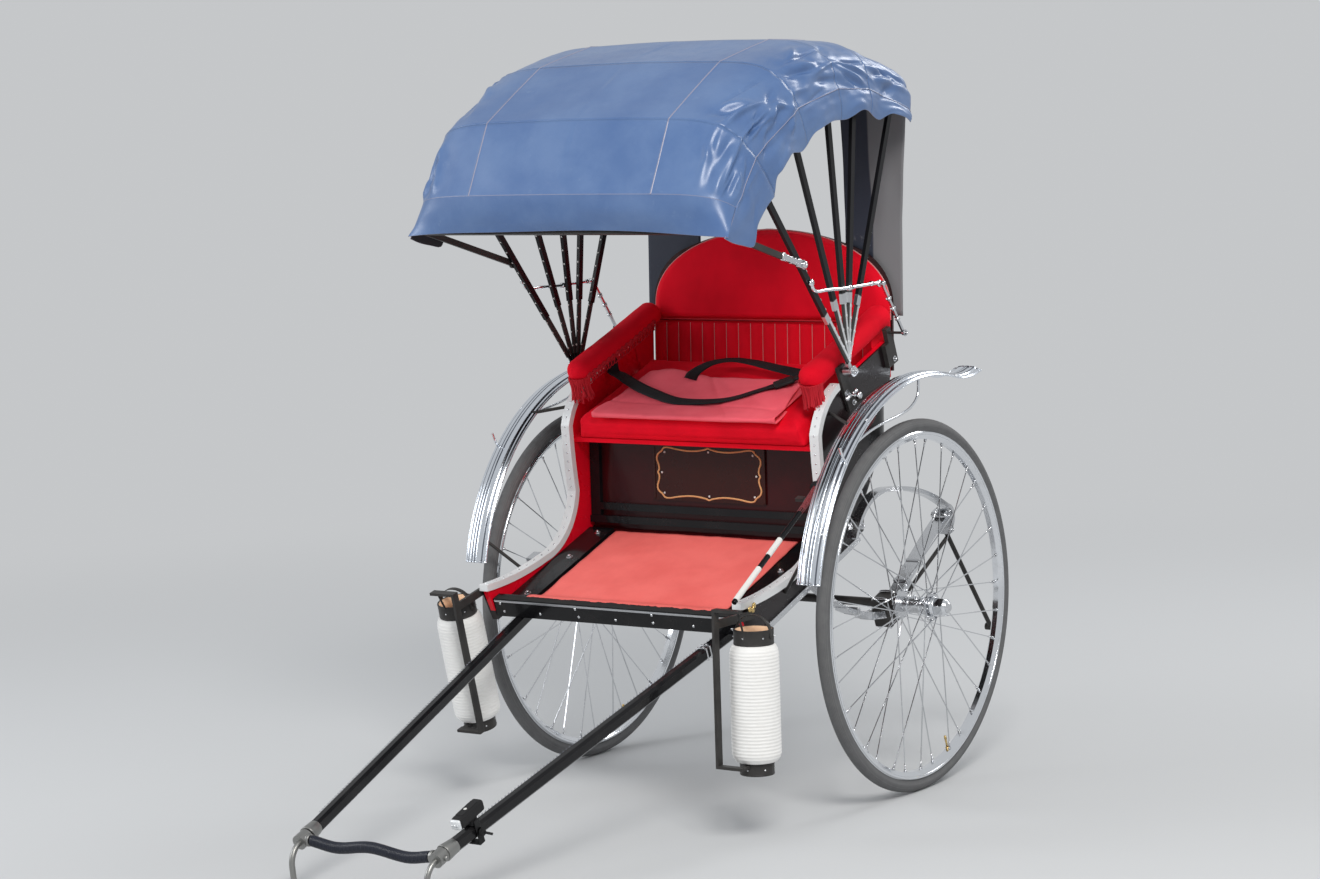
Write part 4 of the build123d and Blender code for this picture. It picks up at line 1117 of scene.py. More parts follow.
# Mudguards
GUARD_CROWN, GUARD_RIVETS_AT, GUARD_ROD_X = 13, 0.86, 611
# the wire that carries each guard, from its front end to its rear: y, z
GUARD_ROD = ((-250, 640), (-246, 606), (-238, 590), (-222, 596), (-161, 615), (-34, 606), (124, 570),
             (185, 574), (214, 592), (224, 622), (236, 640))


def guard_height(t):
    """Radius of the pressed section at a share of its width."""
    crown = GUARD_CROWN * (1 - abs(2 * t - 1) ** 2.4)
    press = -2.0 * sum(math.exp(-((t - at) / 0.035) ** 2) for at in GROOVES)
    return GUARD_R - GUARD_CROWN + crown + press


def guard_point(side, t, v, lift=0.0):
    """Place on a guard at a share of its width and a share of its length from the front end to the tail."""
    round_wheel = GUARD_FRONT_DEG - GUARD_REAR_DEG
    share = round_wheel / (round_wheel + TAIL_DEG * TAIL_R / GUARD_R)
    flare = 1 + 0.3 * smooth((v - 0.78) / 0.22)
    x = side * (GUARD_IN + GUARD_W * (0.5 + (t - 0.5) * flare))
    radius = guard_height(t) + lift
    if v < share:
        angle = math.radians(lerp(GUARD_FRONT_DEG, GUARD_REAR_DEG, v / share))
        return Vector((x, GUARD_Y + radius * math.cos(angle), radius * math.sin(angle)))
    rear, reach = math.radians(GUARD_REAR_DEG), GUARD_R + TAIL_R
    turn = rear + math.pi + math.radians(TAIL_DEG) * (v - share) / (1 - share)
    return Vector((x, GUARD_Y + reach * math.cos(rear) + (reach - radius) * math.cos(turn),
                   reach * math.sin(rear) + (reach - radius) * math.sin(turn)))


def mudguards():
    """Pressed guards with wired edges, the rod that carries each, and its rivets."""
    for side in SIDES:
        name = hand(side)
        bm = grid(44, 190, lambda u, v: guard_point(side, u, v))
        face_out(bm)
        guard = piece(f"mudguard_{name}", bm, BODY, "guard")
        thicken(guard, 0.0022)
        edges = [[guard_point(side, t, k / 40) for k in range(41)] for t in (0.01, 0.99)]
        edges += [[guard_point(side, k / 44, v) for k in range(45)] for v in (0.0, 1.0)]
        wire(f"mudguard_edge_{name}", edges, 2.6, BODY, "guard")
        wire(f"mudguard_rod_{name}", [[(side * GUARD_ROD_X, y, z) for y, z in GUARD_ROD]], 4, BODY, "chrome")
        heads = []
        for v in (0.12, 0.45, 0.9):
            on, low, high = (guard_point(side, GUARD_RIVETS_AT, v, lift) for lift in (1.5, 0, 9))
            heads.append((on, high - low))
        rivets(f"mudguard_rivets_{name}", heads, 5, 3, BODY, "chrome")
        if side > 0:
            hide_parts("mudguards")


# Springs and body hardware
SPRING_X = 480
U_BOLT = ((-27, -56), (-27, 18), (-20, 27), (20, 27), (27, 18), (27, -56))
SWOOP_ENDS = ((50, 684), (-105, 600), (-150, 405), (-375, 290), (-668, 345))
SWOOP_BENDS = ((-44, 656), (-130, 505), (-225, 322), (-510, 306))
SWOOP = tuple(zip(SWOOP_ENDS, SWOOP_BENDS, SWOOP_ENDS[1:]))
TRIM_X, TRIM_RIVETS = 441, 30
# y, z and radius of the bolts on the eyes; y, z and slope of the straps
EYE_BOLTS = ((-350, 262, 8), (398, 88, 8), (408, 36, 7))
STRAPS = ((-176, 76, -0.62), (-104, 20, -0.5), (112, 18, 0.2), (196, 38, 0.13))


def spring_fittings():
    """Bolts of the springs' eyes, stays and clamps, straps round the leaves, and the axle's U-bolts."""
    spots = []
    straps = bmesh.new()
    runs = []
    for side in SIDES:
        middle = side * SPRING_X
        for face in (1, -1):
            x = side * (SPRING_X + face * 22)
            spots += [((x, y, z), (side * face, 0, 0), radius) for y, z, radius in EYE_BOLTS]
        for x in (-18, 18):
            spots += [((middle + x, y, -62), (0, 0, -1), 7) for y in (-24, 24)]
        spots += [((side * (SPRING_X + 15), y, z), (side, 0, 0), 7) for y, z in ((-52, 284), (420, 92))]
        for y, z, tilt in STRAPS:
            collar(straps, (middle, y, z - 7), (0, 1, tilt), (1, 0, 0), 49, 22, 14)
        runs += [[(middle + x, y, z) for x, z in U_BOLT] for y in (-24, 24)]
    bolts("spring_bolts", spots, BODY)
    piece("spring_straps", straps, BODY, "dull")
    wire("spring_u_bolts", runs, 4.5, BODY, "bright")


def trim_rivets():
    """Small heads along the front edge of each side trim."""
    spots = []
    for side in SIDES:
        for k in range(TRIM_RIVETS):
            (y, z), (fy, fz) = arc_at(SWOOP, (k + 0.5) / TRIM_RIVETS)
            spots.append(((side * TRIM_X, y + 10 * fy, z + 10 * fz), (0, fy, fz)))
    rivets("trim_rivets", spots, 3.2, 1.9, BODY, "bright")


RISER_FOOT, RISER_TOP = (-112, 262), (-8, 546)
PLATE_HALF, PLATE_MIDDLE, PLATE_RISE = 187, 0.59, 0.262


def on_riser(x, along, off):
    """Place at a share of the way up the sloping riser, off before it."""
    dy, dz = RISER_TOP[0] - RISER_FOOT[0], RISER_TOP[1] - RISER_FOOT[1]
    length = math.hypot(dy, dz)
    return Vector((x, RISER_FOOT[0] + dy * along - off * dz / length,
                   RISER_FOOT[1] + dz * along + off * dy / length))


# a quarter of the plate's border, from the middle of its top to the middle of its end
OGEE = ((0, 1.0), (0.05, 0.93), (0.3, 0.84), (0.6, 0.90), (0.76, 0.98), (0.86, 0.96), (0.89, 0.82),
        (0.97, 0.72), (1.0, 0.52), (0.955, 0.30), (0.945, 0.10), (0.985, 0))
PLATE_RIVETS = ((-0.84, 0.78), (0, 0.84), (0.84, 0.78), (0.9, 0), (0.86, -0.78), (0, -0.84), (-0.86, -0.78),
                (-0.9, 0))
# strips of the plate's raised edge: from and to, along the riser and then across it
PLATE_STRIPS = ((0.315, 0.33, -197, 197), (0.85, 0.865, -197, 197), (0.315, 0.865, -199, -192),
                (0.315, 0.865, 192, 199))


def plate_border():
    """Ogee border, rivets and raised edge of the bare plate."""
    def on_plate(u, v, off):
        return on_riser(PLATE_HALF * u, PLATE_MIDDLE + PLATE_RISE * v, off)
    right = [*OGEE, *((x, -y) for x, y in reversed(OGEE[:-1]))]
    loop = right + [(-x, y) for x, y in reversed(right[1:-1])]
    wire("plate_border", [[on_plate(u, v, 5.4) for u, v in loop]], 2.8, BODY, "gold", closed=True)
    spots = [(on_plate(u, v, 5), Vector((0, -0.94, 0.34))) for u, v in PLATE_RIVETS]
    rivets("plate_rivets", spots, 3.6, 2.2, BODY)
    strips = bmesh.new()
    for low, high, *ends in PLATE_STRIPS:
        corners = [on_riser(x, a, off) for x in ends for a in (low, high) for off in (0.5, 7)]
        bmesh.ops.convex_hull(strips, input=[strips.verts.new(c) for c in corners])
    piece("plate_edge", strips, BODY, "plate", soft=False)


MAT_HALF, MAT_FRONT, MAT_REAR, DECK_Z = 325, -638, -145, 270.5
RAIL_HALF, RAIL_TOP = 424, 305.4


def floor_fittings():
    """Mat that runs up onto the rail, its frayed rubber edge, the rail's strip, and the boards' bolts."""
    def mat_point(u, v):
        x, y = lerp(-MAT_HALF, MAT_HALF, u), lerp(MAT_FRONT, MAT_REAR, v)
        up = smooth((-548 - y) / 76) * 32
        wave = 1.6 * ripple(x / 90, y / 110, 3) + 1.1 * ripple(x / 30, y / 40, 8)
        z = DECK_Z + up + wave * (1 - smooth((-600 - y) / 30))
        return Vector((x + 2 * ripple(y / 60, u * 3, 1), y, z))
    mat = piece("floor_mat_cloth", grid(64, 56, mat_point), BODY, "mat")
    thicken(mat, 0.004, -1 if mat.data.polygons[0].normal.z > 0 else 1)
    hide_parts("floor_mat")

    fray = random.Random(5)

    def edge_point(u, v):
        x = lerp(-RAIL_HALF, RAIL_HALF, u)
        ragged = 4.5 * ripple(x / 14, 0.5, 7) + fray.uniform(-1, 1) * 0.8
        return Vector((x, lerp(-656, -632 + ragged, v), RAIL_TOP + 0.8 * ripple(x / 40, v * 4, 2)))
    edge = piece("mat_edge", grid(240, 4, edge_point), BODY, "rubber_edge", slot="salmon_cloth")
    thicken(edge, 0.002, -1 if edge.data.polygons[0].normal.z > 0 else 1)
    strip = bmesh.new()
    collar(strip, (0, -655.2, 297), (1, 0, 0), (0, 1, 0), 3.0, 7, 850, 1)
    piece("rail_strip", strip, BODY, "dull", soft=False)
    spots = [((x, -654, 263), (0, -1, 0)) for x in (-398, -268, -130, 0, 130, 268, 398)]
    spots += [((x, -657, 290), (0, -1, 0)) for x in (-404, -134, 134, 404)]
    rivets("rail_screws", spots, 4.6, 2.6, BODY, "bright")
    boards = [((side * 374, y, 274), (0, 0, 1), 7) for side in SIDES for y in (-170, -330, -560)]
    bolts("board_bolts", boards, BODY)


# Shafts
SHAFT_ROOT, SHAFT_END = Vector((398, -250, 220)), Vector((227, -1850, 250))
BAR_Y, BAR_END, BAR_HIGH, BAR_LOW = -1866, 196, 251.5, 236.4
BAR_TURNS, STEPS_A_TURN, STITCHES = 86, 6, 96


def shaft_point(side, t, up=0.0, across_by=0.0):
    """Place at a share of a shaft's length, moved up and across, and the shaft's direction."""
    run = (SHAFT_END - SHAFT_ROOT).normalized()
    level = Vector((0, 0, 1)).cross(run).normalized()
    point = SHAFT_ROOT.lerp(SHAFT_END, t) + run.cross(level) * up + level * across_by
    return mirrored(side, point), mirrored(side, run)


def bar_z(x):
    """Height of the crossbar, which dips in its middle."""
    x = abs(x)
    if x < 120:
        return lerp(BAR_HIGH, BAR_LOW, smooth(x / 120))
    return lerp(BAR_LOW, 250, smooth((x - 120) / 99))


def shaft_fittings():
    """Bands, bolts, ferrules and stitches of the shafts, and the crossbar's binding."""
    bands, spots = bmesh.new(), []
    for side in SIDES:
        for t in ((0.298, 0.308) if side > 0 else ()):
            at, along = shaft_point(side, t)
            collar(bands, at, along, (1, 0, 0), 33, 39, 5, 1)
            spots.append((shaft_point(side, t, 19.5, 6)[0], (0, 0, 1), 4))
        for t in (0.03, 0.12):
            at, along = shaft_point(side, t)
            collar(bands, at, along, (1, 0, 0), 34, 40, 12, 2)
    piece("shaft_bands", bands, BODY, "bright")
    bolts("band_bolts", spots, BODY)
    wrap = []
    for k in range(BAR_TURNS * STEPS_A_TURN + 1):
        x = lerp(-BAR_END, BAR_END, k / (BAR_TURNS * STEPS_A_TURN))
        angle = math.tau * k / STEPS_A_TURN
        wrap.append((x, BAR_Y + 15.4 * math.cos(angle), bar_z(x) + 15.4 * math.sin(angle)))
    wire("crossbar_binding", [wrap], 2.3, BODY, "binding", bevel=1)
    ends, stitches = bmesh.new(), bmesh.new()
    for side in SIDES:
        at, along = shaft_point(side, 0.985)
        drum(ends, at, -along, 24, 44, 32, 20)
        drum(ends, (side * 205, BAR_Y, bar_z(205)), (side, 0, 0), 16.5, 10, 28, 18)
        drum(ends, (side * 249, BAR_Y, 250), (side, 0, 0), 9, 10, 6, 8)
        for k in range(STITCHES):
            spot, along = shaft_point(side, 0.15 + 0.80 * k / STITCHES, 18.2, side * -11)
            slant = (along + Vector((side * 0.5, 0, 0))).normalized()
            collar(stitches, spot, slant, (0, 0, 1), 1.6, 1.6, 7.5, 0.5)
    soften_edges(piece("shaft_ferrules", ends, BODY, "worn"), 0.002, 3)
    piece("shaft_stitches", stitches, BODY, "thread")


def rounded_boxes(*rows):
    """Boxes given by their low and high corners, the radius of their edges and its segments."""
    bm = bmesh.new()
    for low, high, edge, segments in rows:
        round_edges(bm, box(bm, low, high), edge, segments)
    return bm


# case, its top, its foot and the clip's two sides and base
LAMP_BOXES = (((223, -1786, 284), (257, -1680, 316), 8, 4), ((228, -1768, 312), (252, -1696, 318), 2.5, 3),
              ((226, -1742, 268), (254, -1716, 288), 4, 3), ((220, -1740, 212), (224, -1718, 282), 1.5, 2),
              ((256, -1740, 212), (260, -1718, 282), 1.5, 2), ((220, -1740, 211), (260, -1718, 216), 1.5, 2))


def lamp():
    """Clip-on lamp: case, clear front, side knob and strap."""
    case = rounded_boxes(*LAMP_BOXES)
    drum(case, (266, -1729, 246), (1, 0, 0), 12, 12, 24, 10)
    drum(case, (279, -1722, 240), (0.9, 0.3, -0.3), 3.5, 26, 12)
    made = piece("lamp_case", case, BODY, "plastic")
    modifier(made, "WEIGHTED_NORMAL")
    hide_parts("lamp")
    lens = rounded_boxes(((225, -1793, 286), (255, -1782, 314), 5, 3))
    for k in range(3):
        drum(lens, (231 + 9 * k, -1793.5, 300), (0, -1, 0), 3.8, 3, 14, 2.6)
    piece("lamp_lens", lens, BODY, "lens")
    rivets("lamp_button", [((240, -1738, 318), (0, 0, 1))], 5, 2, BODY)


# Parasol strapped along the side
PARASOL_START, PARASOL_END, PARASOL_NECK = Vector((497, -740, 408)), Vector((497, 130, 566)), 0.45


def parasol():
    start, run = PARASOL_START, PARASOL_END - PARASOL_START
    turn = run.to_track_quat("Z", "Y").to_matrix()

    def fold_point(u, v):
        radius = lerp(9, 20, smooth(v * 2.2)) * (1 - 0.35 * smooth((v - 0.93) / 0.07))
        angle = math.tau * u + 0.9 * v
        radius *= 1 - 0.24 * abs(math.cos(4 * angle)) + 0.05 * ripple(u * 6, v * 9, 4)
        off = turn @ Vector((radius * math.cos(angle), radius * math.sin(angle), 0))
        return start + run * lerp(PARASOL_NECK, 1, v) + off
    bm = grid(64, 40, fold_point)
    close_ends(bm, 0.05)
    cloth = piece("parasol_canopy", bm, BODY, "umbrella")
    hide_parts("parasol")
    for look, radius, spans in (("grip", 8.4, ((0.0, 0.162), (0.225, 0.31))),
                                ("black", 7.6, ((-0.012, 0.0), (0.162, 0.225), (0.31, PARASOL_NECK + 0.02)))):
        bm = bmesh.new()
        for a, b in spans:
            drum(bm, start + run * (a + b) / 2, run, radius, run.length * (b - a), 24)
        soften_edges(piece(f"parasol_handle_{look}", bm, BODY, look, soft=False), 0.001, 2)
    ties, rests = bmesh.new(), bmesh.new()
    for t in (0.58, 0.86):
        drum(ties, start + run * t, run, 21.5, 12, 28)
    for t in (0.52, 0.95):
        at = start + run * t
        box(rests, (455, at.y - 9, at.z - 5), (480, at.y + 9, at.z + 5))
    piece("parasol_ties", ties, BODY, "web")
    piece("parasol_rests", rests, BODY, "iron", soft=False)


# Lanterns, drawn upright about their own axis and set on the ground frame
LANTERN_PLACES = ((1, (530, -800, 600), 0), (-1, (-530, -765, 606), 14))
RING_H, LANTERN_H, LANTERN_R, NECK_R, FOOT_R = 42, 330, 70, 52, 48
LANTERN_FOOT = -RING_H - LANTERN_H
LANTERN_RIBS, STEPS_A_RIB = 34, 4
NECK_SECTION = ((51.4, -1), (51.4, -RING_H - 2), (50.4, -RING_H - 2), (50.4, -1), (51.4, -1))


def lantern_radius(f):
    """Radius of the paper at a share of its height from the top, without its ribs."""
    if f < 0.5:
        return lerp(NECK_R + 1, LANTERN_R - 1.4, math.sqrt(max(0.0, 1 - max(0.0, 1 - f / 0.11) ** 2)))
    return lerp(FOOT_R - 2, LANTERN_R - 1.4, math.sqrt(max(0.0, 1 - max(0.0, 1 - (1 - f) / 0.09) ** 2)))


def lantern_paper_mesh():
    """Ribbed paper with its inner side, whose faces have the second material, the painted warm glow."""
    outer = []
    for k in range(LANTERN_RIBS * STEPS_A_RIB + 1):
        f = k / (LANTERN_RIBS * STEPS_A_RIB)
        rib = 1.3 * abs(math.sin(math.pi * k / STEPS_A_RIB)) - 0.5
        outer.append((lantern_radius(f) + rib, 0, -RING_H - LANTERN_H * f))
    inner = [(x - 2.2, 0, z) for x, _, z in outer[::STEPS_A_RIB]]
    bm = bmesh.new()
    ring_of(bm, [*outer, (FOOT_R - 8, 0, LANTERN_FOOT), *reversed(inner), outer[0]], (0, 0, 0), UPRIGHT, 48)
    bm.normal_update()
    for face in bm.faces:
        middle = face.calc_center_median()
        if face.normal.x * middle.x + face.normal.y * middle.y < -1:
            face.material_index = 1
    return bm


def strap_point(u, v):
    angle = math.pi * u
    return Vector((57.4 * math.cos(angle), lerp(-7, 7, v), -24 + 62 * math.sin(angle) ** 0.8))


def lanterns():
    for side, at, lean in LANTERN_PLACES:
        place = GROUND @ Matrix.Translation(at) @ Matrix.Rotation(math.radians(lean), 4, "X")
        name = hand(side)
        made = piece(f"lantern_paper_{name}", lantern_paper_mesh(), BODY, "paper", "glow", place=place)
        if side > 0:
            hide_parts("lanterns")
        disc, wall, bands = bmesh.new(), bmesh.new(), bmesh.new()
        # The floor, centre post and neck inside the lantern take the painted warm glow, which stands in for
        # light within.
        drum(disc, (0, 0, LANTERN_FOOT + 3), UPRIGHT, FOOT_R - 4, 4, 32)
        drum(disc, (0, 0, LANTERN_FOOT + 22), UPRIGHT, 9, 36, 16, 8)
        piece(f"lantern_floor_{name}", disc, BODY, "glow", place=place)
        ring_of(wall, [(x, 0, z) for x, z in NECK_SECTION], (0, 0, 0), UPRIGHT, 48)
        piece(f"lantern_neck_{name}", wall, BODY, "glow", place=place)
        for radius, z in ((56.6, -2.5), (56.6, -39.5), (48.6, LANTERN_FOOT - 3), (48.6, LANTERN_FOOT - 31)):
            ring_of(bands, oval(radius - 1.5, z, 1.6, 2.4), (0, 0, 0), UPRIGHT, 48)
        piece(f"lantern_beads_{name}", bands, BODY, "iron", place=place)
        spots = []
        for radius, z in ((56.2, -21), (48.2, LANTERN_FOOT - 17)):
            for degree in range(-150, 151, 60):
                way = Vector((math.cos(math.radians(degree)), math.sin(math.radians(degree)), 0))
                spots.append((way * radius + Vector((0, 0, z)), way))
        rivets(f"lantern_rivets_{name}", spots, 2.8, 1.6, BODY, "bright", place)
        thicken(piece(f"lantern_strap_{name}", grid(32, 2, strap_point), BODY, "iron", place=place), 0.0022)


# x, y, z and radius
PIVOT_BOLTS = ((500, 70, 725, 11), (461, 70, 650, 9), (461, 96, 612, 6), (522, 350, 720, 7),
               (466, 352, 634, 6))


def pivot_hardware():
    """Bolts, hand nuts and cross rods where the hood hangs on the body, and the lantern's wing nut."""
    spots = [((side * x, y, z), (side, 0, 0), radius) for side in SIDES for x, y, z, radius in PIVOT_BOLTS]
    bolts("pivot_bolts", spots, BODY)
    cross, nut = bmesh.new(), bmesh.new()
    for side in SIDES:
        drum(cross, (side * 486, 66, 650), (1, 0, 0), 6, 46, 16)
        drum(cross, (side * 478, 66, 650), (0, 1, 0), 5, 54, 16)
        for y, way in ((40, -1), (92, 1)):
            dome(cross, (side * 478, y, 650), (0, way, 0), 8, 8)
        drum(cross, (side * 505, 66, 650), (1, 0, 0), 11, 10, 12, 9)
    piece("pivot_hand_nuts", cross, BODY, "chrome")
    drum(nut, (461, -629, 316), (1, 0, 0), 9, 14, 16, 7)
    for y, z in ((-641, 324), (-617, 324)):
        dome(nut, (464, y, z), (1, 0, 0), 9, 4)
        drum(nut, (464, (y - 629) / 2, (z + 316) / 2), (0, y + 629, z - 316), 4, 14, 10)
    piece("lantern_wing_nut", nut, BODY, "brass")


# where the plated part of each bow's bar ends, as a radius about the pivot
PLATED_TOPS = (396, 214, 206, 232, 432)
PLATED_FOOT, PLATED_OFF = 30, 8.5


def bow_fittings():
    """Pale rivets up the right-hand bars, plated irons with knuckles on the left, and sleeves on both."""
    for index, (degree, top) in enumerate(zip(BOWS, PLATED_TOPS)):
        body = f"bow_{index + 1}"
        x = 497 - 6 * index
        run = radial(degree)
        back = Vector((0, math.cos(math.radians(degree)), -math.sin(math.radians(degree))))
        spots = [(about_pivot(-x, degree, radius) - back * 10, -back) for radius in range(60, 640, 42)]
        rivets(f"bow_rivets_{index + 1}", spots, 3.0, 1.8, body)

        def middle(side, radius, off=0):
            return Vector((side * x, *PIVOT)) + run * radius + back * off

        irons, sleeves = bmesh.new(), bmesh.new()
        for side, off, width in ((1, -2, 12), (-1, 0, 19)):
            collar(sleeves, middle(side, 123, off), run, (1, 0, 0), 5.6, width, 176, 1.2)
        along = middle(1, (PLATED_FOOT + top) / 2, PLATED_OFF)
        collar(irons, along, run, (1, 0, 0), 5.0, 11, top - PLATED_FOOT, 1.4)
        knuckles = round((top - 56) / 38)
        for k in range(knuckles + 1):
            at = middle(1, lerp(48, top - 8, k / knuckles), PLATED_OFF)
            collar(irons, at, run, (1, 0, 0), 5.6, 15, 9, 1.8)
            drum(irons, at + Vector((2.4, 0, 0)), (1, 0, 0), 3, 1, 10)
        collar(irons, middle(1, top + 4, PLATED_OFF - 3), run, (1, 0, 0), 5.6, 17, 12, 2.2)
        piece(f"bow_plating_{index + 1}", irons, body, "irons")
        piece(f"bow_sleeves_{index + 1}", sleeves, body, "iron")


# distance from the joint, thickness, width, length and edge radius
FRONT_KNUCKLES = ((20, 9, 24, 22, 2.5), (46, 9, 19, 12, 2.5), (64, 9, 22, 8, 2.5), (84, 9, 19, 14, 2.5),
                  (106, 9, 24, 16, 2.5), (62, 8, 17, 96, 2))


def front_bow_fittings():
    direction, joint = radial(-54.5), Vector((509.5, JOINT.y, JOINT.z))
    bars = bmesh.new()
    for reach, *sizes in FRONT_KNUCKLES:
        collar(bars, joint + direction * reach, direction, (1, 0, 0), *sizes)
    dome(bars, joint + Vector((6, 0, 0)), (1, 0, 0), 12, 7)
    piece("front_bow_knuckles", bars, "front_bow", "bright")
    pins = [((side * 511.5, JOINT.y, JOINT.z), (side, 0, 0), 9) for side in SIDES]
    bolts("front_bow_pins", pins, "front_bow")


ROD_X, STAY_X = 507, 517
IRON_ROD = ((-54, 1057), (-56, 1040), (-40, 1022), (10, 1008), (100, 972), (200, 938), (278, 912), (290, 905))
STAY_FOOT = (350, 720)


def iron_fittings():
    """Curved rods from the first bow back to the elbow, with their collars and pins."""
    rods = [[(side * ROD_X, y, z) for y, z in IRON_ROD] for side in SIDES]
    wire("iron_rod_bars", rods, 5.2, "iron_rods", "chrome")
    collars, ends = bmesh.new(), bmesh.new()
    for side in SIDES:
        drum(collars, (side * ROD_X, 132, 961), (0, 0.93, -0.36), 8.4, 22, 20)
        drum(collars, (side * ROD_X, 250, 922), (0, 0.93, -0.36), 7.4, 12, 20)
        for y, z in (IRON_ROD[0], IRON_ROD[-1]):
            drum(collars, (side * ROD_X, y, z), (1, 0, 0), 10, 7, 20)
        elbow, foot = (Vector((side * STAY_X, y, z)) for y, z in (IRON_ROD[-1], STAY_FOOT))
        for share in (0.3, 0.5, 0.7):
            drum(ends, elbow.lerp(foot, share), (0, 60, -185), 8, 8, 16)
        drum(ends, (side * 523, *IRON_ROD[-1]), (1, 0, 0), 9, 7, 16, 7)
    made = piece("iron_rod_collars", collars, "iron_rods", "chrome", slot="bright_iron")
    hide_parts("iron_rods")
    piece("iron_stay_collars", ends, "iron_stays", "bright")


# Soft trim
def ribbon(name, points, width, first, roll):
    """Strap along a smooth line. Its width starts along first and is then level, but for its roll."""
    def at(u, v):
        v = min(max(v, 0.01), 0.99)
        middle, before, after = (Vector(spline_through(points, v + d)) for d in (0, -0.008, 0.008))
        run = (after - before).normalized()
        level = run.cross((0, 0, 1)).normalized()
        lie = level * math.cos(roll(v)) + level.cross(run) * math.sin(roll(v))
        return middle + Vector(first).lerp(lie, smooth(v * 5)).normalized() * width * (u - 0.5)
    bm = grid(4, 12 * len(points), at)
    face_out(bm)
    area = area_of(bm)
    made = piece(name, bm, BODY, "web")
    thicken(made, 0.0017)
    area / width * 1000
    return made


LAP_FRONT, LAP_REAR, LAP_TURN, LAP_TOP, LAP_UNDER = -116, 150, 5.5, 651.5, 80
LAP_HALF_FRONT, LAP_HALF_REAR = 324, 280


def lap_cloth():
    """Folded cloth: it runs forward over the cushion, turns under along its front edge and comes back."""
    over, bend = LAP_REAR - LAP_FRONT, math.pi * LAP_TURN
    length = over + bend + LAP_UNDER

    def line(run):
        """y and z of the cloth's middle at a distance along it."""
        if run < over:
            return LAP_REAR - run, LAP_TOP
        if run < over + bend:
            angle = (run - LAP_REAR + LAP_FRONT) / LAP_TURN
            return LAP_FRONT - LAP_TURN * math.sin(angle), LAP_TOP - LAP_TURN * (1 - math.cos(angle))
        return LAP_FRONT + run - over - bend, LAP_TOP - 2 * LAP_TURN

    def at(u, v):
        y, z = line(v * length)
        wide = 2 * u - 1
        half = lerp(LAP_HALF_FRONT, LAP_HALF_REAR, smooth((y - LAP_FRONT) / over))
        skew = 10 * ripple(y / 120, wide * 2, 5)
        lift = 4.5 * ripple(wide * 2.2, y / 95, 1.7) + 4 * abs(ripple(wide * 1.6 + y / 130, y / 150, 9))
        lift += 1.2 * ripple(wide * 9, y / 28, 4.4)
        lift += 6 * smooth((abs(wide) - 0.88) / 0.12) * (0.6 if wide < 0 else 1)
        lift += 26 * math.exp(-((wide + 0.72) / 0.3) ** 2 - ((y - 138) / 52) ** 2)
        crease = -2.6 * math.exp(-((wide * half + 0.8 * y - 60) / 9) ** 2)
        crease -= 2.2 * math.exp(-((y + 38 + 12 * wide) / 8) ** 2)
        return Vector((wide * half + 0.9 * skew, y + 1.2 * skew * abs(wide),
                       z + (lift + crease) * smooth((z - 644) / 6)))
    bm = grid(72, 80, at)
    face_out(bm)
    area, width = area_of(bm), 0.61
    made = piece("lap_cloth_folded", bm, BODY, "lap")
    thicken(made, 0.0024)
    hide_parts("lap_cloth")
    area / width

    def inner_at(u, v):
        return Vector((lerp(-314, 306, u), lerp(-114, 120, v), 646.6 + 0.8 * ripple(u * 5, v * 4, 2)))
    inner = piece("lap_cloth_inner", grid(60, 24, inner_at), BODY, "lap")
    thicken(inner, 0.0022)


BELT_LEFT = ((-424, 172, 716), (-421, 160, 690), (-408, 142, 668), (-366, 118, 667), (-274, 57, 667),
             (-195, 19, 662), (-64, -29, 659), (85, -12, 659), (171, 62, 660), (205, 90, 662))
BELT_RIGHT = ((388, 238, 700), (340, 214, 672), (262, 176, 664), (170, 190, 668), (60, 214, 676),
              (-20, 222, 679), (-84, 200, 676), (-112, 150, 670), (-104, 104, 667))
BELT_WIDTH = 38
BUCKLES = (((226, 108, 664), (0.78, 0.6, 0.1), 62), ((352, 226, 684), (0.8, 0.5, 0.4), 50))


def belts():
    """The two ends of the belt, named by their sides in the picture, and their buckles."""
    strap = ribbon("belt_left", BELT_LEFT, BELT_WIDTH, (-0.1, -1, -0.1), lambda v: 0.16 * math.sin(v * 9))
    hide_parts("seat_belt")
    ribbon("belt_right", BELT_RIGHT, BELT_WIDTH, (-0.5, 0.8, 0),
           lambda v: 0.2 * math.sin(v * 7) + 0.25 * smooth((v - 0.5) * 3))
    catch = bmesh.new()
    for at, along, length in BUCKLES:
        collar(catch, at, along, (0.6, -0.78, 0), 44, 11, length, 4)
        collar(catch, Vector(at) + Vector(along) * 0.62 * length, along, (0.6, -0.78, 0), 26, 7, 18, 2)
    piece("belt_buckles", catch, BODY, "plastic")


ARM_X, ARM_Z, ARM_FRONT, ARM_REAR, ARM_ROUND = 412, 744, -52, 408, 36
ARM_WIDE, ARM_TALL = 38.5, 36
TASSELS = 84


def arm_rise(y):
    return 5 * smooth((y - 150) / 250)


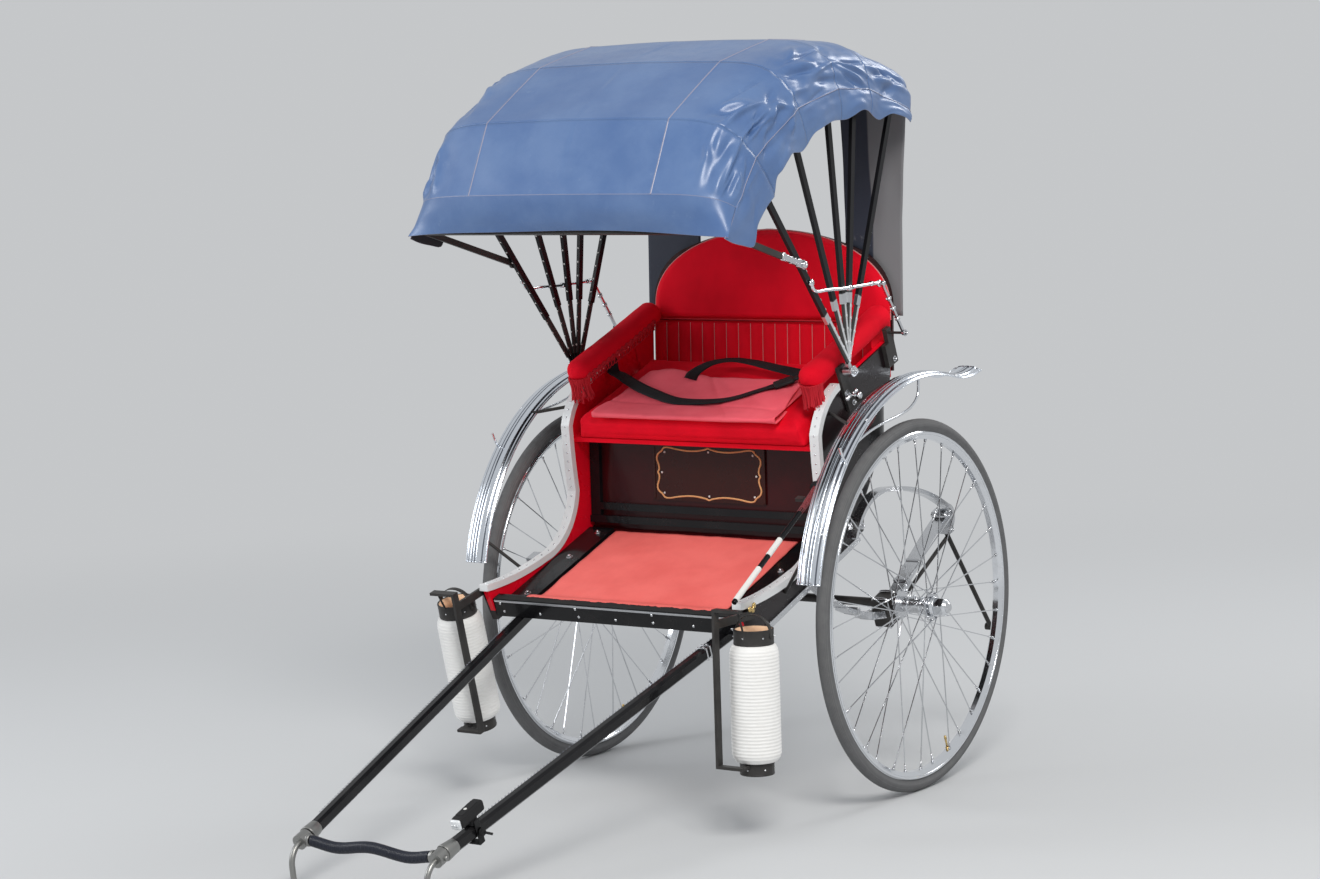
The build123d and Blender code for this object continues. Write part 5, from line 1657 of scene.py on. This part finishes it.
def armrests():
    """Padded rolls with a rounded front end, run back against the backrest, with braid and tassels."""
    for side in SIDES:
        name = hand(side)

        def at(u, v):
            y = lerp(ARM_FRONT, ARM_REAR, v)
            near = max(0.0, min(1.0, (y - ARM_FRONT) / ARM_ROUND))
            swell = math.sqrt(max(0.0, 1 - (1 - near) ** 2))
            c, s = math.cos(math.tau * u), math.sin(math.tau * u)
            dimple = 1.4 * ripple(c * 1.5, y / 50, side * 2 + s)
            x = ARM_X + (ARM_WIDE * swell + dimple) * math.copysign(abs(c) ** 0.86, c)
            up = (ARM_TALL * swell + dimple) * math.copysign(abs(s) ** 0.9, s) * (1 if s > 0 else 0.94)
            return Vector((side * x, y, ARM_Z + up + arm_rise(y)))

        def edge(y, drop):
            return Vector((side * (ARM_X - 36 + 0.3 * drop), y, ARM_Z - 17 - drop + arm_rise(y)))

        bm = grid(40, 44, at)
        close_ends(bm, 0.4)
        roll = piece(f"arm_roll_{name}", bm, BODY, "velvet")
        subdivide(roll)
        if side > 0:
            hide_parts("armrests")
        braid = [[edge(-30 + 8 * k, drop + 4.0 * math.sin(k * 1.9 + late)) for k in range(50)]
                 for drop, late in ((0, 0), (-8, 2))]
        wire(f"arm_braid_{name}", braid, 4.4, BODY, "braid", bevel=2)
        loops = []
        for k in range(220):
            angle = math.tau * k / 10
            loops.append(edge(-30 + 1.8 * k + 6 * math.sin(angle), 14 + 10 * math.cos(angle)))
        wire(f"arm_gimp_{name}", [loops], 2.1, BODY, "braid", bevel=1)
        tassel = random.Random(3 if side > 0 else 4)
        strands = []
        for k in range(TASSELS):
            angle = lerp(-0.2, 3.5, k / (TASSELS - 1))
            y = -20 - 34 * max(0, math.sin(angle)) + tassel.uniform(-3, 3)
            top = Vector((side * (ARM_X - 34 * math.cos(angle)), y, ARM_Z - 14))
            down = Vector((0, 0, -tassel.uniform(50, 78)))
            sway = Vector((tassel.uniform(-8, 8), tassel.uniform(-12, 8), 0))
            gather = Vector((side * ARM_X, -34, 0)) - Vector((top.x, top.y, 0))
            strands.append([top, top + down * 0.2 + gather * 0.05,
                            top + sway * 0.5 + gather * 0.18 + down * 0.6, top + sway + gather * 0.1 + down])
        wire(f"arm_tassels_{name}", strands, 2.2, BODY, "braid", bevel=1)


def wings():
    """Padded return that closes the corner between each side panel and the backrest."""
    for side in SIDES:
        def at(u, v):
            z = lerp(566, 752, v)
            rear = BACK_FOOT[0] + (z - BACK_FOOT[1]) * math.tan(RECLINE) + 16
            puff = 5 * math.sin(math.pi * u) * math.sin(math.pi * v) ** 0.4
            return Vector((side * (428 - puff), lerp(300, rear, u), z))
        wing = piece(f"arm_wing_{hand(side)}", grid(16, 24, at), BODY, "velvet")
        thicken(wing, 0.003)


def back_piping():
    """Cord round the arch of the backrest, and a lip along the foot of its upper pad."""
    steps = 80
    run = [back_point(BACK_HALF + 1, 176, 27)]
    for k in range(steps + 1):
        t = math.pi * k / steps
        up = ARCH_FROM + 232 * math.sin(t) ** 0.93
        half = BACK_HALF if k in (0, steps) else arch_half(min(up, 445.9))
        run.append(back_point(half if t < math.pi / 2 else -half, up, 27))
    wire("back_piping", [run + [back_point(-BACK_HALF - 1, 176, 27)]], 2.6, BODY, "piping")
    wire("back_lip", [[back_point(x, 171, 3.5) for x in range(-418, 419, 38)]], 2.6, BODY, "braid")


def corner_flap():
    """Black facing cloth folded inside each front corner of the hood."""
    for side in SIDES:
        def at(u, v):
            depth = lerp(4, 40 * math.sin(math.pi * min(1.0, u * 1.15)), v)
            x = 520 - 5 * v - 4 * math.sin(5 * u)
            return Vector((side * x, lerp(-446, -352, u) + 6 * v, 1384 + 18 * u - depth))
        bm = grid(14, 10, at)
        face_out(bm)
        area, width = area_of(bm), 0.11
        made = piece(f"corner_facing_{hand(side)}", bm, "front_bow", "lining")
        thicken(made, 0.0018)
        max(area / width, 0.02)


for side in SIDES:
    wheel_fittings(side)
mudguards()
spring_fittings()
trim_rivets()
plate_border()
floor_fittings()
shaft_fittings()
lamp()
parasol()
lanterns()
pivot_hardware()
bow_fittings()
front_bow_fittings()
iron_fittings()
lap_cloth()
belts()
armrests()
wings()
back_piping()
corner_flap()

# Materials of the solids that stay
KEPT = {
    "chrome": ("rim_left", "rim_right"),
    "bright": ("hub_left", "hub_right", "spokes_left", "spokes_right", "springs", "sill_irons",
               "spring_hangers", "joint_pins", "iron_stays"),
    "worn": ("shaft_tips",),
    "iron": ("axle", "spring_clamps", "guard_stays", "rear_stand", "stay_brackets", "hood_pivots",
             "lantern_fittings", "front_bow"),
    "bow": ("bow_1", "bow_2", "bow_3", "bow_4", "bow_5"),
    "black": ("shafts", "crossbar", "front_rail", "riser_frame", "floor_side_boards", "rear_panel"),
    "velvet": ("seat_board",),
    "maroon": ("riser_panel", "floor_deck"),
    "plate": ("plate",),
    "side": ("side_panels",),
    "white": ("side_trims",),
    "shell": ("backrest_shell",),
    "tyre": ("tyre_left", "tyre_right"),
}
for look, names in KEPT.items():
    for name in names:
        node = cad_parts.get(name)
        if node is not None:
            node.data.materials.clear()
            node.data.materials.append(M[look])


# Camera, light and floor
FOCAL_PX = 3255.16
FRAME_W, SENSOR = 1320, 36.0
CAMERA_AT = (5.3231, -8.2373, 2.0664)
AZIMUTH, ELEVATION, ROLL = (math.radians(a) for a in (34.359, 6.044, -1.765))

BACKDROP = (0.560, 0.572, 0.585)


def add_camera():
    data = bpy.data.cameras.new("view")
    data.sensor_width = SENSOR
    data.lens = FOCAL_PX * SENSOR / FRAME_W
    data.clip_start, data.clip_end = 0.1, 200
    made = link("view", data)
    level = math.cos(ELEVATION)
    back = Vector((math.sin(AZIMUTH) * level, -math.cos(AZIMUTH) * level, math.sin(ELEVATION)))
    right = Vector((0, 0, 1)).cross(back).normalized()
    up = back.cross(right)
    right, up = math.cos(ROLL) * right + math.sin(ROLL) * up, math.cos(ROLL) * up - math.sin(ROLL) * right
    turn = Matrix((right, up, back)).transposed().to_4x4()
    made.matrix_world = Matrix.Translation(CAMERA_AT) @ turn
    bpy.context.scene.camera = made


def add_light(name, at, towards, size, power, colour=(1, 1, 1)):
    data = bpy.data.lights.new(name, "AREA")
    data.shape = "RECTANGLE"
    data.size, data.size_y = size
    data.energy = power
    data.color = colour
    made = link(name, data)
    made.location = at
    made.rotation_mode = "QUATERNION"
    made.rotation_quaternion = (Vector(towards) - Vector(at)).to_track_quat("-Z", "Y")


def add_world():
    world = bpy.data.worlds.new("studio")
    bpy.context.scene.world = world
    world.use_nodes = True
    shade = world.node_tree.nodes["Background"]
    shade.inputs["Color"].default_value = (*BACKDROP, 1)
    shade.inputs["Strength"].default_value = 1.0


def add_floor():
    """Floor that fades into the backdrop with distance where the camera sees it."""
    bm = bmesh.new()
    bmesh.ops.create_grid(bm, x_segments=1, y_segments=1, size=60)
    mesh = bpy.data.meshes.new("floor")
    bm.to_mesh(mesh)
    bm.free()
    look = Look("studio_floor", roughness=0.9)
    look.set("Base Color", (0.56, 0.57, 0.58, 1))
    x, y, _ = look.axes()
    reach = (x * x + y * y).math("SQRT")
    path = look.node("ShaderNodeLightPath", {})
    seen = path
    for name in ("Is Glossy Ray", "Is Transmission Ray"):
        seen = seen.math("MAXIMUM", Value(look, path.socket.node.outputs[name]))
    pale = look.node("ShaderNodeEmission", {}, BACKDROP)
    lit = Value(look, look.shader.outputs[0])
    mixed = look.node("ShaderNodeMixShader", {}, reach.between(2.2, 6.5) * seen, lit, pale)
    look.feed(look.tree.nodes["Material Output"].inputs["Surface"], mixed)
    mesh.materials.append(look.material)
    link("floor", mesh)


add_camera()
add_world()
add_floor()
add_light("key", (4.5, -5.0, 6.5), (0, -0.3, 0.8), (2.6, 2.6), 430, (1, 0.98, 0.95))
add_light("fill", (-5.5, -4.5, 3.5), (0, -0.3, 0.8), (3, 3), 150, (0.94, 0.97, 1))
add_light("rear", (1.5, 6.0, 5.0), (0, 0, 1.0), (3, 2), 130)

bpy.context.scene.view_settings.view_transform = "Standard"
